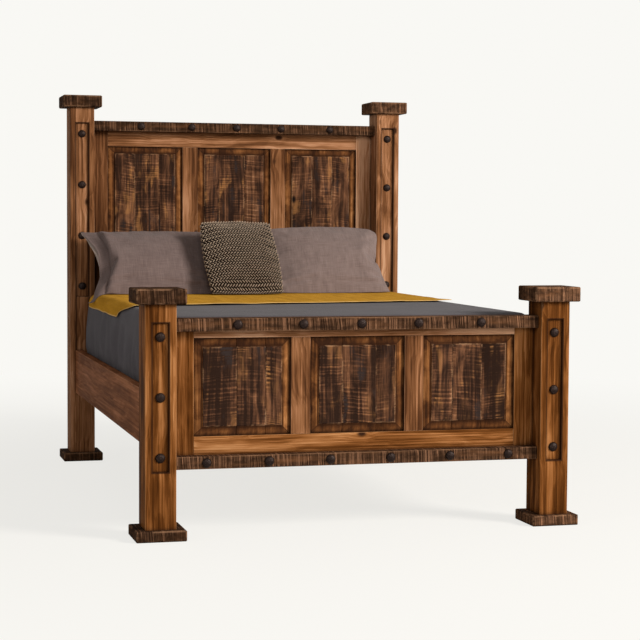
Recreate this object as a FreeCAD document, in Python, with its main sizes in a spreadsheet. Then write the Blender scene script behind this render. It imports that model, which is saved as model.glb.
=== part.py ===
import FreeCAD, Part
import math
import os
from types import SimpleNamespace

import Sketcher

# A queen bed in rustic stained pine: a tall headboard and a low footboard of raised panels framed
# between square posts, side rails that hook into the posts, a slatted deck, and its bedding.
# X runs across the bed, Y from the foot to the head and Z up. The origin is on the floor under
# the middle of the bed. Sizes are millimetres.

doc = FreeCAD.newDocument("panel_bed")

SIZES = {
    # Mattress set, and the room that the frame leaves around it
    "mattress_width": 1524,
    "mattress_length": 2032,
    "mattress_thick": 242,
    "mattress_corner": 70,
    "mattress_edge": 30,
    "box_spring_thick": 177,
    "box_spring_edge": 12,
    "side_gap": 18,
    "end_gap": 36,
    # Posts with their caps and feet
    "headboard_height": 1797,
    "footboard_height": 940,
    "post_width": 119,
    "post_depth": 140,
    "post_edge": 4,
    "cap_width": 190,
    "cap_thick": 58,
    "cap_edge": 4,
    "foot_width": 192,
    "foot_thick": 42,
    "foot_edge": 3,
    "tenon_width": 60,
    "tenon_length": 28,
    "tenon_clearance": 0.2,
    # Long recess in each post's front face
    "recess_width": 62,
    "recess_depth": 12,
    "headboard_recess_bottom": 811,
    "headboard_recess_drop": 77,
    "footboard_recess_bottom": 257,
    "footboard_recess_drop": 70,
    # Panel frames
    "frame_thick": 38,
    "stile_width": 80,
    "mullion_width": 77,
    "groove_width": 12,
    "groove_depth": 12,
    "groove_room": 1,
    "headboard_frame_setback": 102,
    "headboard_frame_drop": 62,
    "headboard_frame_bottom": 560,
    "headboard_top_rail": 122,
    "headboard_bottom_rail": 120,
    "footboard_frame_setback": 82,
    "footboard_frame_drop": 56,
    "footboard_frame_bottom": 260,
    "footboard_top_rail": 76,
    "footboard_bottom_rail": 118,
    # Raised panels
    "panel_clearance": 0.2,
    "panel_reveal": 1,
    "bevel_width": 36,
    "bevel_rise": 7,
    "field_step": 3,
    # Rough-sawn strips
    "strip_height": 48,
    "headboard_strip_setback": 40,
    "footboard_strip_setback": 31,
    # Clavos: forged nails with a faceted head and a square shank
    "clavo_radius": 18.5,
    "clavo_rise": 11,
    "clavo_shank": 6,
    "clavo_bite": 22,
    "clavo_end_gap": 52,
    "clavo_clearance": 0.2,
    # Side rails, ledgers and slats
    "rail_thick": 38,
    "rail_height": 210,
    "rail_bottom": 337.5,
    "rail_setback": 24,
    "rail_edge": 3,
    "ledger_width": 38,
    "ledger_height": 38,
    "ledger_end_gap": 40,
    "slat_width": 89,
    "slat_thick": 32,
    "slat_end_gap": 2,
    # Hook plates in the rail ends and socket plates in the posts
    "plate_width": 24,
    "plate_height": 140,
    "plate_thick": 3,
    "plate_screw_inset": 12,
    "hook_thick": 3,
    "hook_neck": 22,
    "hook_drop": 8,
    "hook_tip": 6,
    "hook_inset": 34,
    "hook_clearance": 0.3,
    "hook_room": 3,
    # Countersunk screws
    "screw_head_radius": 4.2,
    "screw_shank_radius": 2.2,
    "screw_head_height": 2.4,
    "plate_screw_length": 30,
    "ledger_screw_length": 58,
    "slat_screw_length": 50,
    "screw_clearance": 0.15,
    # Bedding
    "cloth_thick": 3,
    "cloth_clearance": 0.5,
    "sheet_tuck": 38,
    "sheet_fold_start": 62,
    "sheet_fold_depth": 6,
    "throw_thick": 5,
    "throw_hang": 72,
    "throw_head_gap": 116,
    "pillow_edge": 12,
    "pillow_thick": 165,
    "pillow_height": 430,
    "pillow_left_width": 580,
    "pillow_left_middle": -433,
    "pillow_left_head_gap": 326,
    "pillow_flange": 80,
    "pillow_right_width": 572,
    "pillow_right_middle": 426,
    "pillow_right_head_gap": 296,
    "cushion_width": 360,
    "cushion_height": 420,
    "cushion_thick": 130,
    "cushion_middle": -50,
    "cushion_head_gap": 425,
    "soft_clearance": 0.3,
    # How far a cut runs past the face that it opens
    "overrun": 5,
}

# How far the pillows and the cushion lean, and how far the cushion turns, in degrees
PILLOW_LEFT_ANGLE = 45
PILLOW_RIGHT_ANGLE = 50
CUSHION_ANGLE = 55
CUSHION_TURN_ANGLE = 4

SIDES = {"left": -1, "right": 1}
ENDS = {"foot": -1, "head": 1}
SLAT_COUNT = 5
BOTTOM_CLAVO_COUNT = 6

# Places of the top strip's clavos, as shares of half the strip's length
TOP_CLAVO_SHARES = (-0.67, -0.317, 0, 0.317, 0.67)
# Rings of a clavo's forged head from the wood outwards: shares of its radius and of its rise
CLAVO_RING_SHARES = ((1, 0), (1, 0.27), (0.74, 0.72), (0.34, 1))

# Where the joints between a panel's planks lie, as shares of the opening's width
PLANK_SHARES = {
    "headboard": {"left": (0.36, 0.68), "centre": (0.30, 0.64), "right": (0.38, 0.66)},
    "footboard": {"left": (0.44, 0.74), "centre": (0.34, 0.70), "right": (0.32, 0.64)},
}

sheet = doc.addObject("Spreadsheet::Sheet", "sizes")
for row, (alias, number) in enumerate(SIZES.items(), start=1):
    sheet.set("A%d" % row, alias)
    sheet.set("B%d" % row, str(number))
    sheet.setAlias("B%d" % row, alias)
doc.recompute()


class Length:
    """A length that carries its number and the sheet expression that drives it."""

    def __init__(self, text, number):
        self.text = text
        self.number = number

    def joined(self, sign, other, number):
        words = other.text if isinstance(other, Length) else repr(other)
        return Length("(%s %s %s)" % (self.text, sign, words), number)

    def __add__(self, other):
        return self.joined("+", other, self.number + float(other))

    def __sub__(self, other):
        return self.joined("-", other, self.number - float(other))

    def __mul__(self, share):
        return self.joined("*", share, self.number * float(share))

    def __truediv__(self, share):
        return self.joined("/", share, self.number / float(share))

    def __neg__(self):
        return Length("(-1 * %s)" % self.text, -self.number)

    def __float__(self):
        return float(self.number)


# Under this, two measured places count as the same
SLACK = 1e-6

size = SimpleNamespace(**{alias: Length("sizes." + alias, sheet.get(alias)) for alias in SIZES})
PARTS = {}


# Small tools that every piece uses

def part(item, label):
    """Keeps a finished piece under the name of its file."""
    item.Label = label
    PARTS[label] = item
    return item


def drive(item, path, length):
    """Binds one property of an object to the sheet; a plain zero is left as it is."""
    if isinstance(length, Length):
        item.setExpression(path, length.text)


def place(item, x, y, z):
    for axis, length in zip("xyz", (x, y, z)):
        drive(item, "Placement.Base." + axis, length)


def block(name, low, high):
    """A rectangular piece of timber between two corners."""
    item = doc.addObject("Part::Box", name)
    place(item, *low)
    for side, near, far in zip(("Length", "Width", "Height"), low, high):
        drive(item, side, far - near)
    return item


def fused(name, *pieces):
    item = doc.addObject("Part::MultiFuse", name)
    item.Shapes = pieces
    item.Refine = True
    return item


def cut(name, base, *tools):
    item = doc.addObject("Part::Cut", name)
    item.Base = base
    item.Tool = tools[0] if len(tools) == 1 else fused(name + "_cuts", *tools)
    item.Refine = True
    return item


def mirrored_span(sign, near, far):
    """The span from near to far on one side of the middle, lowest first."""
    return (near, far) if sign > 0 else (-far, -near)


def sketch(body, name, role, lift=0):
    """A sketch on one of a body's own origin planes, or lifted off it."""
    drawing = body.newObject("Sketcher::SketchObject", name)
    plane = next(item for item in body.Origin.OriginFeatures if item.Role == role)
    drawing.AttachmentSupport = [(plane, "")]
    drawing.MapMode = "FlatFace"
    drive(drawing, "AttachmentOffset.Base.z", lift)
    return drawing


def hold(drawing, kind, geometry, point, length):
    """Ties one coordinate of a sketched point to the sheet, or to the axis where it is zero."""
    if isinstance(length, Length):
        index = drawing.addConstraint(Sketcher.Constraint(kind, -1, 1, geometry, point, float(length)))
        drawing.setExpression("Constraints[%d]" % index, length.text)
    else:
        axis = -2 if kind == "DistanceX" else -1
        drawing.addConstraint(Sketcher.Constraint("PointOnObject", geometry, point, axis))


def outline(drawing, points):
    """Draws a closed outline whose corners are tied to the sheet."""
    spots = [FreeCAD.Vector(float(across), float(along), 0) for across, along in points]
    lines = [drawing.addGeometry(Part.LineSegment(start, end), False)
             for start, end in zip(spots, spots[1:] + spots[:1])]
    for line, before in zip(lines, lines[-1:] + lines[:-1]):
        drawing.addConstraint(Sketcher.Constraint("Coincident", before, 2, line, 1))
    for line, (across, along) in zip(lines, points):
        hold(drawing, "DistanceX", line, 1, across)
        hold(drawing, "DistanceY", line, 1, along)


def rectangle(drawing, low_across, low_along, high_across, high_along):
    outline(drawing, [(low_across, low_along), (high_across, low_along),
                      (high_across, high_along), (low_across, high_along)])


def pad(body, name, profile, length, down=False):
    feature = body.newObject("PartDesign::Pad", name)
    feature.Profile = profile
    feature.Reversed = down
    drive(feature, "Length", length)
    doc.recompute()
    return feature


def pocket(body, name, profile, depth, turned=False):
    """Cuts a pocket and makes sure that it took wood away."""
    volume = body.Shape.Volume
    feature = body.newObject("PartDesign::Pocket", name)
    feature.Profile = profile
    feature.Reversed = turned
    drive(feature, "Length", depth)
    doc.recompute()
    if not body.Shape.Volume < volume:
        raise RuntimeError(name + " cuts nothing")
    return feature


def eased(body, name, kind, base, edges, length):
    """Rounds or chamfers the chosen edges of a body's last feature."""
    feature = body.newObject("PartDesign::" + kind, name)
    feature.Base = (base, ["Edge%d" % (number + 1) for number in edges])
    drive(feature, "Radius" if kind == "Fillet" else "Size", length)
    doc.recompute()
    return feature


def edges_along(shape, axis):
    """Numbers of the straight edges that run along one axis, such as "Z"."""
    way = {"X": FreeCAD.Vector(1, 0, 0), "Y": FreeCAD.Vector(0, 1, 0), "Z": FreeCAD.Vector(0, 0, 1)}[axis]
    return [number for number, edge in enumerate(shape.Edges)
            if isinstance(edge.Curve, Part.Line) and abs(edge.Curve.Direction.dot(way)) > math.cos(0.01)]


def level_edges(shape):
    """Numbers of the edges that lie level, round the top and the bottom."""
    return [number for number, edge in enumerate(shape.Edges) if edge.BoundBox.ZLength < SLACK]


def spread(name, master, spots):
    """Copies of one piece at many places, as a group of separate solids."""
    item = doc.addObject("Part::Feature", name)
    doc.recompute()
    copies = []
    for spot in spots:
        copy = master.Shape.copy()
        copy.Placement = spot.multiply(master.Placement)
        copies.append(copy)
    item.Shape = Part.makeCompound(copies)
    return item


def spot(x, y, z, axis=(0, 0, 1), angle=0):
    """A place for one copy, turned about an axis."""
    return FreeCAD.Placement(FreeCAD.Vector(float(x), float(y), float(z)),
                             FreeCAD.Rotation(FreeCAD.Vector(*axis), angle))


# Places that many pieces share

half_rail = size.mattress_length / 2 + size.end_gap
rail_inside = size.mattress_width / 2 + size.side_gap
rail_outside = rail_inside + size.rail_thick
post_x = rail_outside + size.rail_setback - size.post_width / 2
post_inside = post_x - size.post_width / 2
rail_top = size.rail_bottom + size.rail_height
rail_middle = rail_inside + size.rail_thick / 2
plate_bottom = size.rail_bottom + size.rail_height / 2 - size.plate_height / 2
frame_inside = post_inside - size.stile_width
opening_width = (frame_inside * 2 - size.mullion_width * 2) / 3
mullion_x = opening_width / 2 + size.mullion_width / 2
tongue = size.groove_depth - size.groove_room


def board(name, front, post_clavo_count, has_bottom_strip):
    """Gathers the places of the headboard or the footboard from its own sizes."""
    own = {alias: getattr(size, name + "_" + alias) for alias in (
        "height", "recess_bottom", "recess_drop", "frame_setback", "frame_drop", "frame_bottom",
        "top_rail", "bottom_rail", "strip_setback")}
    post_top = own["height"] - size.cap_thick
    frame_front = front + own["frame_setback"]
    groove_front = frame_front + (size.frame_thick - size.groove_width) / 2
    frame_top = post_top - own["frame_drop"]
    return SimpleNamespace(
        name=name, front=front, post_middle=front + size.post_depth / 2, post_top=post_top,
        recess_bottom=own["recess_bottom"], recess_top=post_top - own["recess_drop"],
        strip_front=front + own["strip_setback"],
        frame_front=frame_front, frame_back=frame_front + size.frame_thick,
        groove_front=groove_front, groove_back=groove_front + size.groove_width,
        frame_top=frame_top, frame_bottom=own["frame_bottom"],
        opening_top=frame_top - own["top_rail"], opening_bottom=own["frame_bottom"] + own["bottom_rail"],
        post_clavo_count=post_clavo_count, has_bottom_strip=has_bottom_strip)


BOARDS = {
    "head": board("headboard", half_rail, 4, False),
    "foot": board("footboard", -half_rail - size.post_depth, 3, True),
}


# Clavos and screws are eight-sided solids lofted through rings along Z

def lofted_rings(name, rings):
    """Lofts straight between eight-sided rings, each given as a radius and a height."""
    sections = []
    for number, (radius, height) in enumerate(rings):
        polygon = doc.addObject("Part::RegularPolygon", "%s_ring_%d" % (name, number))
        polygon.Polygon = 8
        drive(polygon, "Circumradius", radius)
        place(polygon, 0, 0, height)
        sections.append(polygon)
    solid = doc.addObject("Part::Loft", name)
    solid.Sections = sections
    solid.Solid = True
    solid.Ruled = True
    return solid


# Clavos: a forged head on a square shank that is driven straight back into the wood

def clavo(name, shank_length):
    head = lofted_rings(name + "_head", [(size.clavo_radius * radius_share, size.clavo_rise * rise_share)
                                         for radius_share, rise_share in CLAVO_RING_SHARES])
    half = size.clavo_shank / 2
    shank = block(name + "_shank", (-half, -half, -shank_length), (half, half, size.clavo_rise / 2))
    return fused(name, head, shank)


def clavo_hole(name, shank_length):
    """The square hole that a clavo's shank fills, with its clearance."""
    half = size.clavo_shank / 2 + size.clavo_clearance
    return block(name, (-half, -half, -shank_length - size.clavo_clearance), (half, half, size.overrun))


post_clavo_length = size.post_depth / 2 - size.recess_depth
post_clavo = clavo("post_clavo", post_clavo_length)
post_clavo_hole = clavo_hole("post_clavo_hole", post_clavo_length)


def facing_spot(x, y, z):
    """A place for a nail whose head faces the foot of the bed."""
    return spot(x, y, z, (1, 0, 0), 90)


def post_clavo_spots(end, sign):
    """One post's clavos, evenly spaced down the floor of its recess."""
    end_place = BOARDS[end]
    low = end_place.recess_bottom + size.clavo_end_gap
    high = end_place.recess_top - size.clavo_end_gap
    count = end_place.post_clavo_count
    return [facing_spot(post_x * sign, end_place.front + size.recess_depth,
                        low + (high - low) * (step / (count - 1))) for step in range(count)]


def strip_clavo_spots(end):
    """The clavos along the top strip, and along the bottom strip where there is one."""
    end_place = BOARDS[end]
    top = end_place.frame_top - size.strip_height / 2
    spots = [facing_spot(post_inside * share, end_place.strip_front, top) for share in TOP_CLAVO_SHARES]
    if end_place.has_bottom_strip:
        bottom = end_place.frame_bottom + size.strip_height / 2
        bottom_shares = [(2 * step + 1) / BOTTOM_CLAVO_COUNT - 1 for step in range(BOTTOM_CLAVO_COUNT)]
        spots += [facing_spot(post_inside * share, end_place.strip_front, bottom) for share in bottom_shares]
    return spots


# Countersunk screws with their points at the origin, grown by a clearance for their holes

def screw(name, length, clearance=0):
    head = size.screw_head_radius + clearance
    shank = size.screw_shank_radius + clearance
    return lofted_rings(name, [(shank, 0), (shank, length - size.screw_head_height), (head, length)])


SCREWS = {}
SCREW_HOLES = {}
for use in ("plate", "ledger", "slat"):
    screw_length = getattr(size, use + "_screw_length")
    SCREWS[use] = screw(use + "_screw", screw_length)
    SCREW_HOLES[use] = screw(use + "_screw_hole", screw_length, size.screw_clearance)


# Rail joints: steel hooks on plates let into the rail ends drop into slotted plates in the posts

def plate_blank(name):
    body = doc.addObject("PartDesign::Body", name)
    face = sketch(body, name + "_face", "XZ_Plane")
    rectangle(face, 0, 0, size.plate_width, size.plate_height)
    pad(body, name + "_plate", face, size.plate_thick, down=True)
    return body


hook_lows = (size.hook_inset, size.plate_height - size.hook_inset - size.hook_neck)
hook_plate = plate_blank("hook_plate")
for number, low in enumerate(hook_lows):
    hook_side = size.plate_width / 2 - size.hook_thick / 2
    hook = sketch(hook_plate, "hook_%d_outline" % number, "YZ_Plane", hook_side)
    notch = size.plate_thick * 2 + size.hook_clearance
    outline(hook, [
        (size.plate_thick, low), (notch, low), (notch, low - size.hook_drop),
        (notch + size.hook_tip, low - size.hook_drop), (notch + size.hook_tip, low + size.hook_neck),
        (size.plate_thick, low + size.hook_neck)])
    pad(hook_plate, "hook_%d" % number, hook, size.hook_thick)

socket_plate = plate_blank("socket_plate")
slot_half = size.hook_thick / 2 + size.hook_clearance
for number, low in enumerate(hook_lows):
    slot = sketch(socket_plate, "slot_%d_outline" % number, "XZ_Plane")
    rectangle(slot, size.plate_width / 2 - slot_half, low, size.plate_width / 2 + slot_half,
              low + size.hook_neck + size.hook_drop + size.hook_clearance)
    pocket(socket_plate, "slot_%d" % number, slot, size.plate_thick)


def plate_spots(depth):
    """The four corners of the bed, turned to face the post there; depth is into the post."""
    return [spot(rail_middle * sign - size.plate_width / 2 * way, (half_rail + depth) * way, plate_bottom,
                 angle=0 if way > 0 else 180)
            for way in ENDS.values() for sign in SIDES.values()]


def plate_screw_spots(end, side, into_post):
    """Two screws through one plate; their heads lie in the joint's own plane."""
    way = ENDS[end] if into_post else -ENDS[end]
    middle = rail_middle * SIDES[side]
    joint = half_rail * ENDS[end]
    heights = (plate_bottom + size.plate_screw_inset,
               plate_bottom + size.plate_height - size.plate_screw_inset)
    shaft = size.plate_screw_length * way
    return [spot(middle, joint + shaft, height, (1, 0, 0), 90 * way) for height in heights]


rail_screw_spots = [spot_of for end in ENDS for side in SIDES
                    for spot_of in plate_screw_spots(end, side, False)]
post_screw_spots = [spot_of for end in ENDS for side in SIDES
                    for spot_of in plate_screw_spots(end, side, True)]
hook_group = spread("hook_plate_group", hook_plate, plate_spots(-size.plate_thick))
socket_group = spread("socket_plate_group", socket_plate, plate_spots(0))
rail_screw_holes = spread("rail_screw_holes", SCREW_HOLES["plate"], rail_screw_spots)
post_screw_holes = spread("post_screw_holes", SCREW_HOLES["plate"], post_screw_spots)
part(cut("rail_hook_plates", hook_group, rail_screw_holes), "rail_hook_plates")
part(cut("rail_socket_plates", socket_group, post_screw_holes), "rail_socket_plates")
part(spread("plate_screws", SCREWS["plate"], rail_screw_spots + post_screw_spots), "plate_screws")


def plate_seat(name, end, side, into_post):
    """The recess that lets a plate in flush, in the post's face or in the rail's end."""
    middle = rail_middle * SIDES[side]
    bottom_of = half_rail if into_post else half_rail - size.plate_thick
    low, high = mirrored_span(ENDS[end], bottom_of, bottom_of + size.plate_thick)
    return block(name, (middle - size.plate_width / 2, low, plate_bottom),
                 (middle + size.plate_width / 2, high, plate_bottom + size.plate_height))


def hook_pocket(name, end, side, low):
    """The slot in the post behind a socket plate, where one hook goes in and drops."""
    middle = rail_middle * SIDES[side]
    half = slot_half + size.hook_room
    behind = half_rail + size.plate_thick
    near, far = mirrored_span(ENDS[end], behind, behind + size.hook_tip + size.hook_room)
    return block(name, (middle - half, near, plate_bottom + low - size.hook_drop - size.hook_room),
                 (middle + half, far, plate_bottom + low + size.hook_neck + size.hook_drop + size.hook_room))


# Posts: squared timber with eased corners, a recessed front, a stub tenon at each end, a groove
# for the panel frame and a mortised seat for the rail's socket plate

def post(end, side):
    place_of = BOARDS[end]
    name = "%s_post_%s" % (place_of.name, side)
    sign = SIDES[side]
    body = doc.addObject("PartDesign::Body", name + "_timber")
    section = sketch(body, name + "_section", "XY_Plane")
    rectangle(section, 0, 0, size.post_width, size.post_depth)
    length = place_of.post_top - size.foot_thick
    timber = pad(body, name + "_length", section, length)
    eased(body, name + "_corners", "Fillet", timber, edges_along(body.Shape, "Z"), size.post_edge)

    recess = sketch(body, name + "_recess_outline", "XZ_Plane")
    recess_side = size.post_width / 2 - size.recess_width / 2
    rectangle(recess, recess_side, place_of.recess_bottom - size.foot_thick,
              recess_side + size.recess_width, place_of.recess_top - size.foot_thick)
    pocket(body, name + "_recess", recess, size.recess_depth)

    low_x = size.post_width / 2 - size.tenon_width / 2
    low_y = size.post_depth / 2 - size.tenon_width / 2
    for tenon_end, lift in (("foot", 0), ("cap", length)):
        root = sketch(body, "%s_%s_tenon_outline" % (name, tenon_end), "XY_Plane", lift)
        rectangle(root, low_x, low_y, low_x + size.tenon_width, low_y + size.tenon_width)
        pad(body, "%s_%s_tenon" % (name, tenon_end), root, size.tenon_length, down=tenon_end == "foot")
    place(body, post_x * sign - size.post_width / 2, place_of.front, size.foot_thick)

    groove_low, groove_high = mirrored_span(sign, post_inside - size.overrun, post_inside + size.groove_depth)
    groove = block(name + "_frame_groove", (groove_low, place_of.groove_front, place_of.frame_bottom),
                   (groove_high, place_of.groove_back, place_of.frame_top))
    seat = plate_seat(name + "_socket_seat", end, side, True)
    pockets = [hook_pocket("%s_hook_pocket_%d" % (name, number), end, side, low)
               for number, low in enumerate(hook_lows)]
    screws = spread(name + "_screw_holes", SCREW_HOLES["plate"], plate_screw_spots(end, side, True))
    nails = spread(name + "_clavo_holes", post_clavo_hole, post_clavo_spots(end, sign))
    part(cut(name, body, groove, seat, *pockets, screws, nails), name)


# Caps and feet: square blocks with chamfered arrises, mortised for the post's stub tenon

def square_block(name, end, side, width, thick, edge, bottom, mortise_above):
    body = doc.addObject("PartDesign::Body", name)
    square = sketch(body, name + "_square", "XY_Plane")
    rectangle(square, 0, 0, width, width)
    slab = pad(body, name + "_slab", square, thick)
    eased(body, name + "_arrises", "Chamfer", slab, range(len(body.Shape.Edges)), edge)
    mortise = sketch(body, name + "_mortise_outline", "XY_Plane", thick if mortise_above else 0)
    low = width / 2 - size.tenon_width / 2 - size.tenon_clearance
    high = width / 2 + size.tenon_width / 2 + size.tenon_clearance
    rectangle(mortise, low, low, high, high)
    pocket(body, name + "_mortise", mortise, size.tenon_length + size.tenon_clearance,
           turned=not mortise_above)
    place(body, post_x * SIDES[side] - width / 2, BOARDS[end].post_middle - width / 2, bottom)
    part(body, name)


# Panel frame: stub tenons and panels share one groove that runs round every inner edge

def stile(end, side):
    place_of = BOARDS[end]
    name = "%s_stile_%s" % (place_of.name, side)
    sign = SIDES[side]
    low, high = mirrored_span(sign, frame_inside, post_inside)
    timber = block(name + "_timber", (low, place_of.frame_front, place_of.frame_bottom),
                   (high, place_of.frame_back, place_of.frame_top))
    low, high = mirrored_span(sign, post_inside, post_inside + tongue)
    edge_tongue = block(name + "_tongue", (low, place_of.groove_front, place_of.frame_bottom),
                        (high, place_of.groove_back, place_of.frame_top))
    low, high = mirrored_span(sign, frame_inside - size.overrun, frame_inside + size.groove_depth)
    groove = block(name + "_groove", (low, place_of.groove_front, place_of.frame_bottom - size.overrun),
                   (high, place_of.groove_back, place_of.frame_top + size.overrun))
    part(cut(name, fused(name + "_blank", timber, edge_tongue), groove), name)


def frame_rail(end, where, low, high, groove_low, groove_high, nails):
    """A top or bottom rail with a stub tenon at each end and a groove for the panels."""
    place_of = BOARDS[end]
    name = "%s_%s_rail" % (place_of.name, where)
    timber = block(name + "_timber", (-frame_inside, place_of.frame_front, low),
                   (frame_inside, place_of.frame_back, high))
    reach = frame_inside + tongue
    tenons = block(name + "_tenons", (-reach, place_of.groove_front, low),
                   (reach, place_of.groove_back, high))
    groove = block(name + "_groove", (-reach - size.overrun, place_of.groove_front, groove_low),
                   (reach + size.overrun, place_of.groove_back, groove_high))
    part(cut(name, fused(name + "_blank", timber, tenons), groove, *nails), name)


def mullion(end, side):
    place_of = BOARDS[end]
    name = "%s_mullion_%s" % (place_of.name, side)
    middle = mullion_x * SIDES[side]
    half = size.mullion_width / 2
    low, high = place_of.opening_bottom, place_of.opening_top
    timber = block(name + "_timber", (middle - half, place_of.frame_front, low),
                   (middle + half, place_of.frame_back, high))
    core = half - size.groove_depth
    tenons = block(name + "_tenons", (middle - core, place_of.groove_front, low - tongue),
                   (middle + core, place_of.groove_back, high + tongue))
    grooves = [block("%s_groove_%s" % (name, edge), (near, place_of.groove_front, low - size.overrun),
                     (far, place_of.groove_back, high + size.overrun))
               for edge, near, far in (("left", middle - half - size.overrun, middle - core),
                                       ("right", middle + core, middle + half + size.overrun))]
    part(fused(name, cut(name + "_grooved", timber, *grooves), tenons), name)


# Raised panels: a tongue that floats in the grooves, a bevelled margin and a stepped-up field,
# glued up from three upright planks

def raised_panel(end, where):
    place_of = BOARDS[end]
    name = "%s_panel_%s" % (place_of.name, where)
    pitch = opening_width + size.mullion_width
    middle = pitch * {"left": -1, "centre": 0, "right": 1}[where]
    low = place_of.opening_bottom
    high = place_of.opening_top
    half = opening_width / 2
    tongue_front = place_of.groove_front + size.panel_clearance
    tongue_back = place_of.groove_back - size.panel_clearance
    margin = size.groove_depth - size.groove_room
    tongue_plate = block(name + "_tongue", (middle - half - margin, tongue_front, low - margin),
                         (middle + half + margin, tongue_back, high + margin))
    bevel = doc.addObject("Part::Wedge", name + "_bevel")
    field_half = half - size.bevel_width
    base_half = half - size.panel_reveal
    field_front = tongue_front - size.bevel_rise
    for path, length in (
            ("Xmin", middle - field_half), ("Xmax", middle + field_half),
            ("Zmin", low + size.bevel_width), ("Zmax", high - size.bevel_width),
            ("Ymin", field_front), ("Ymax", tongue_front),
            ("X2min", middle - base_half), ("X2max", middle + base_half),
            ("Z2min", low + size.panel_reveal), ("Z2max", high - size.panel_reveal)):
        drive(bevel, path, length)
    field = block(name + "_field",
                  (middle - field_half, field_front - size.field_step, low + size.bevel_width),
                  (middle + field_half, field_front, high - size.bevel_width))
    blank = fused(name + "_blank", tongue_plate, bevel, field)

    reach = half + size.groove_depth
    joints = [opening_width * (share - 0.5) for share in PLANK_SHARES[place_of.name][where]]
    cuts = [-reach] + joints + [reach]
    planks = []
    for number, (left, right) in enumerate(zip(cuts, cuts[1:])):
        slice_of = block("%s_slice_%d" % (name, number),
                         (middle + left, field_front - size.overrun, low - size.groove_depth),
                         (middle + right, tongue_back + size.overrun, high + size.groove_depth))
        plank = doc.addObject("Part::Common", "%s_plank_%d" % (name, number))
        plank.Base = blank
        plank.Tool = slice_of
        planks.append(plank)
    panel = doc.addObject("Part::Compound", name)
    panel.Links = planks
    part(panel, name)


def strip(end, where, bottom, nails):
    """A rough-sawn strip nailed to the frame's front, from post to post."""
    place_of = BOARDS[end]
    name = "%s_%s_strip" % (place_of.name, where)
    timber = block(name + "_timber", (-post_inside, place_of.strip_front, bottom),
                   (post_inside, place_of.frame_front, bottom + size.strip_height))
    part(cut(name, timber, *nails), name)


for end, place_of in BOARDS.items():
    for side in SIDES:
        post(end, side)
        square_block("%s_cap_%s" % (place_of.name, side), end, side, size.cap_width, size.cap_thick,
                     size.cap_edge, place_of.post_top, False)
        square_block("%s_foot_%s" % (place_of.name, side), end, side, size.foot_width, size.foot_thick,
                     size.foot_edge, 0, True)
        stile(end, side)
        mullion(end, side)

    strip_depth = place_of.frame_front - place_of.strip_front
    strip_clavo = clavo(place_of.name + "_strip_clavo", strip_depth + size.clavo_bite)
    strip_hole = clavo_hole(place_of.name + "_strip_clavo_hole", strip_depth + size.clavo_bite)
    nail_holes = [spread(place_of.name + "_strip_clavo_holes", strip_hole, strip_clavo_spots(end))]
    frame_rail(end, "top", place_of.opening_top, place_of.frame_top,
               place_of.opening_top - size.overrun, place_of.opening_top + size.groove_depth, nail_holes)
    frame_rail(end, "bottom", place_of.frame_bottom, place_of.opening_bottom,
               place_of.opening_bottom - size.groove_depth, place_of.opening_bottom + size.overrun,
               nail_holes)
    strip(end, "top", place_of.frame_top - size.strip_height, nail_holes)
    if place_of.has_bottom_strip:
        strip(end, "bottom", place_of.frame_bottom, nail_holes)
    for where in PLANK_SHARES[place_of.name]:
        raised_panel(end, where)

    nails = doc.addObject("Part::Compound", place_of.name + "_clavos")
    nails.Links = [
        spread(place_of.name + "_strip_clavos", strip_clavo, strip_clavo_spots(end)),
        spread(place_of.name + "_post_clavos", post_clavo,
               [spot_of for sign in SIDES.values() for spot_of in post_clavo_spots(end, sign)])]
    part(nails, place_of.name + "_clavos")


# Side rails between the posts, with a ledger screwed along the inside of each

ledger_top = size.rail_bottom + size.ledger_height
ledger_reach = half_rail - size.ledger_end_gap
slat_reach = ledger_reach - size.slat_width / 2
slat_places = [slat_reach * (2 * number / (SLAT_COUNT - 1) - 1) for number in range(SLAT_COUNT)]


def ledger_screw_spots(sign):
    """Screws through a ledger into its rail, midway between the slats."""
    gaps = [(one + other) / 2 for one, other in zip(slat_places, slat_places[1:])]
    head = rail_inside - size.ledger_width
    return [spot((head + size.ledger_screw_length) * sign, along, size.rail_bottom + size.ledger_height / 2,
                 (0, 1, 0), -90 * sign) for along in gaps]


def slat_screw_spots(sign):
    """One screw through each slat's end, down into the ledger."""
    across = (rail_inside - size.ledger_width / 2) * sign
    bottom = ledger_top + size.slat_thick - size.slat_screw_length
    return [spot(across, along, bottom) for along in slat_places]


ledger_screws = []
slat_screws = []
for side, sign in SIDES.items():
    name = "side_rail_" + side
    body = doc.addObject("PartDesign::Body", name + "_timber")
    section = sketch(body, name + "_section", "XY_Plane")
    rectangle(section, 0, 0, size.rail_thick, half_rail * 2)
    timber = pad(body, name + "_height", section, size.rail_height)
    eased(body, name + "_arrises", "Fillet", timber, edges_along(body.Shape, "Y"), size.rail_edge)
    low, high = mirrored_span(sign, rail_inside, rail_outside)
    place(body, low, -half_rail, size.rail_bottom)
    seats = [plate_seat("%s_seat_%s" % (name, end), end, side, False) for end in ENDS]
    end_holes = spread(name + "_screw_holes", SCREW_HOLES["plate"],
                       [spot_of for end in ENDS for spot_of in plate_screw_spots(end, side, False)])
    ledger_holes = spread(name + "_ledger_holes", SCREW_HOLES["ledger"], ledger_screw_spots(sign))
    part(cut(name, body, *seats, end_holes, ledger_holes), name)

    name = "ledger_" + side
    low, high = mirrored_span(sign, rail_inside - size.ledger_width, rail_inside)
    timber = block(name + "_timber", (low, -ledger_reach, size.rail_bottom), (high, ledger_reach, ledger_top))
    slat_holes = spread(name + "_slat_holes", SCREW_HOLES["slat"], slat_screw_spots(sign))
    part(cut(name, timber, ledger_holes, slat_holes), name)
    ledger_screws += ledger_screw_spots(sign)
    slat_screws += slat_screw_spots(sign)

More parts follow.
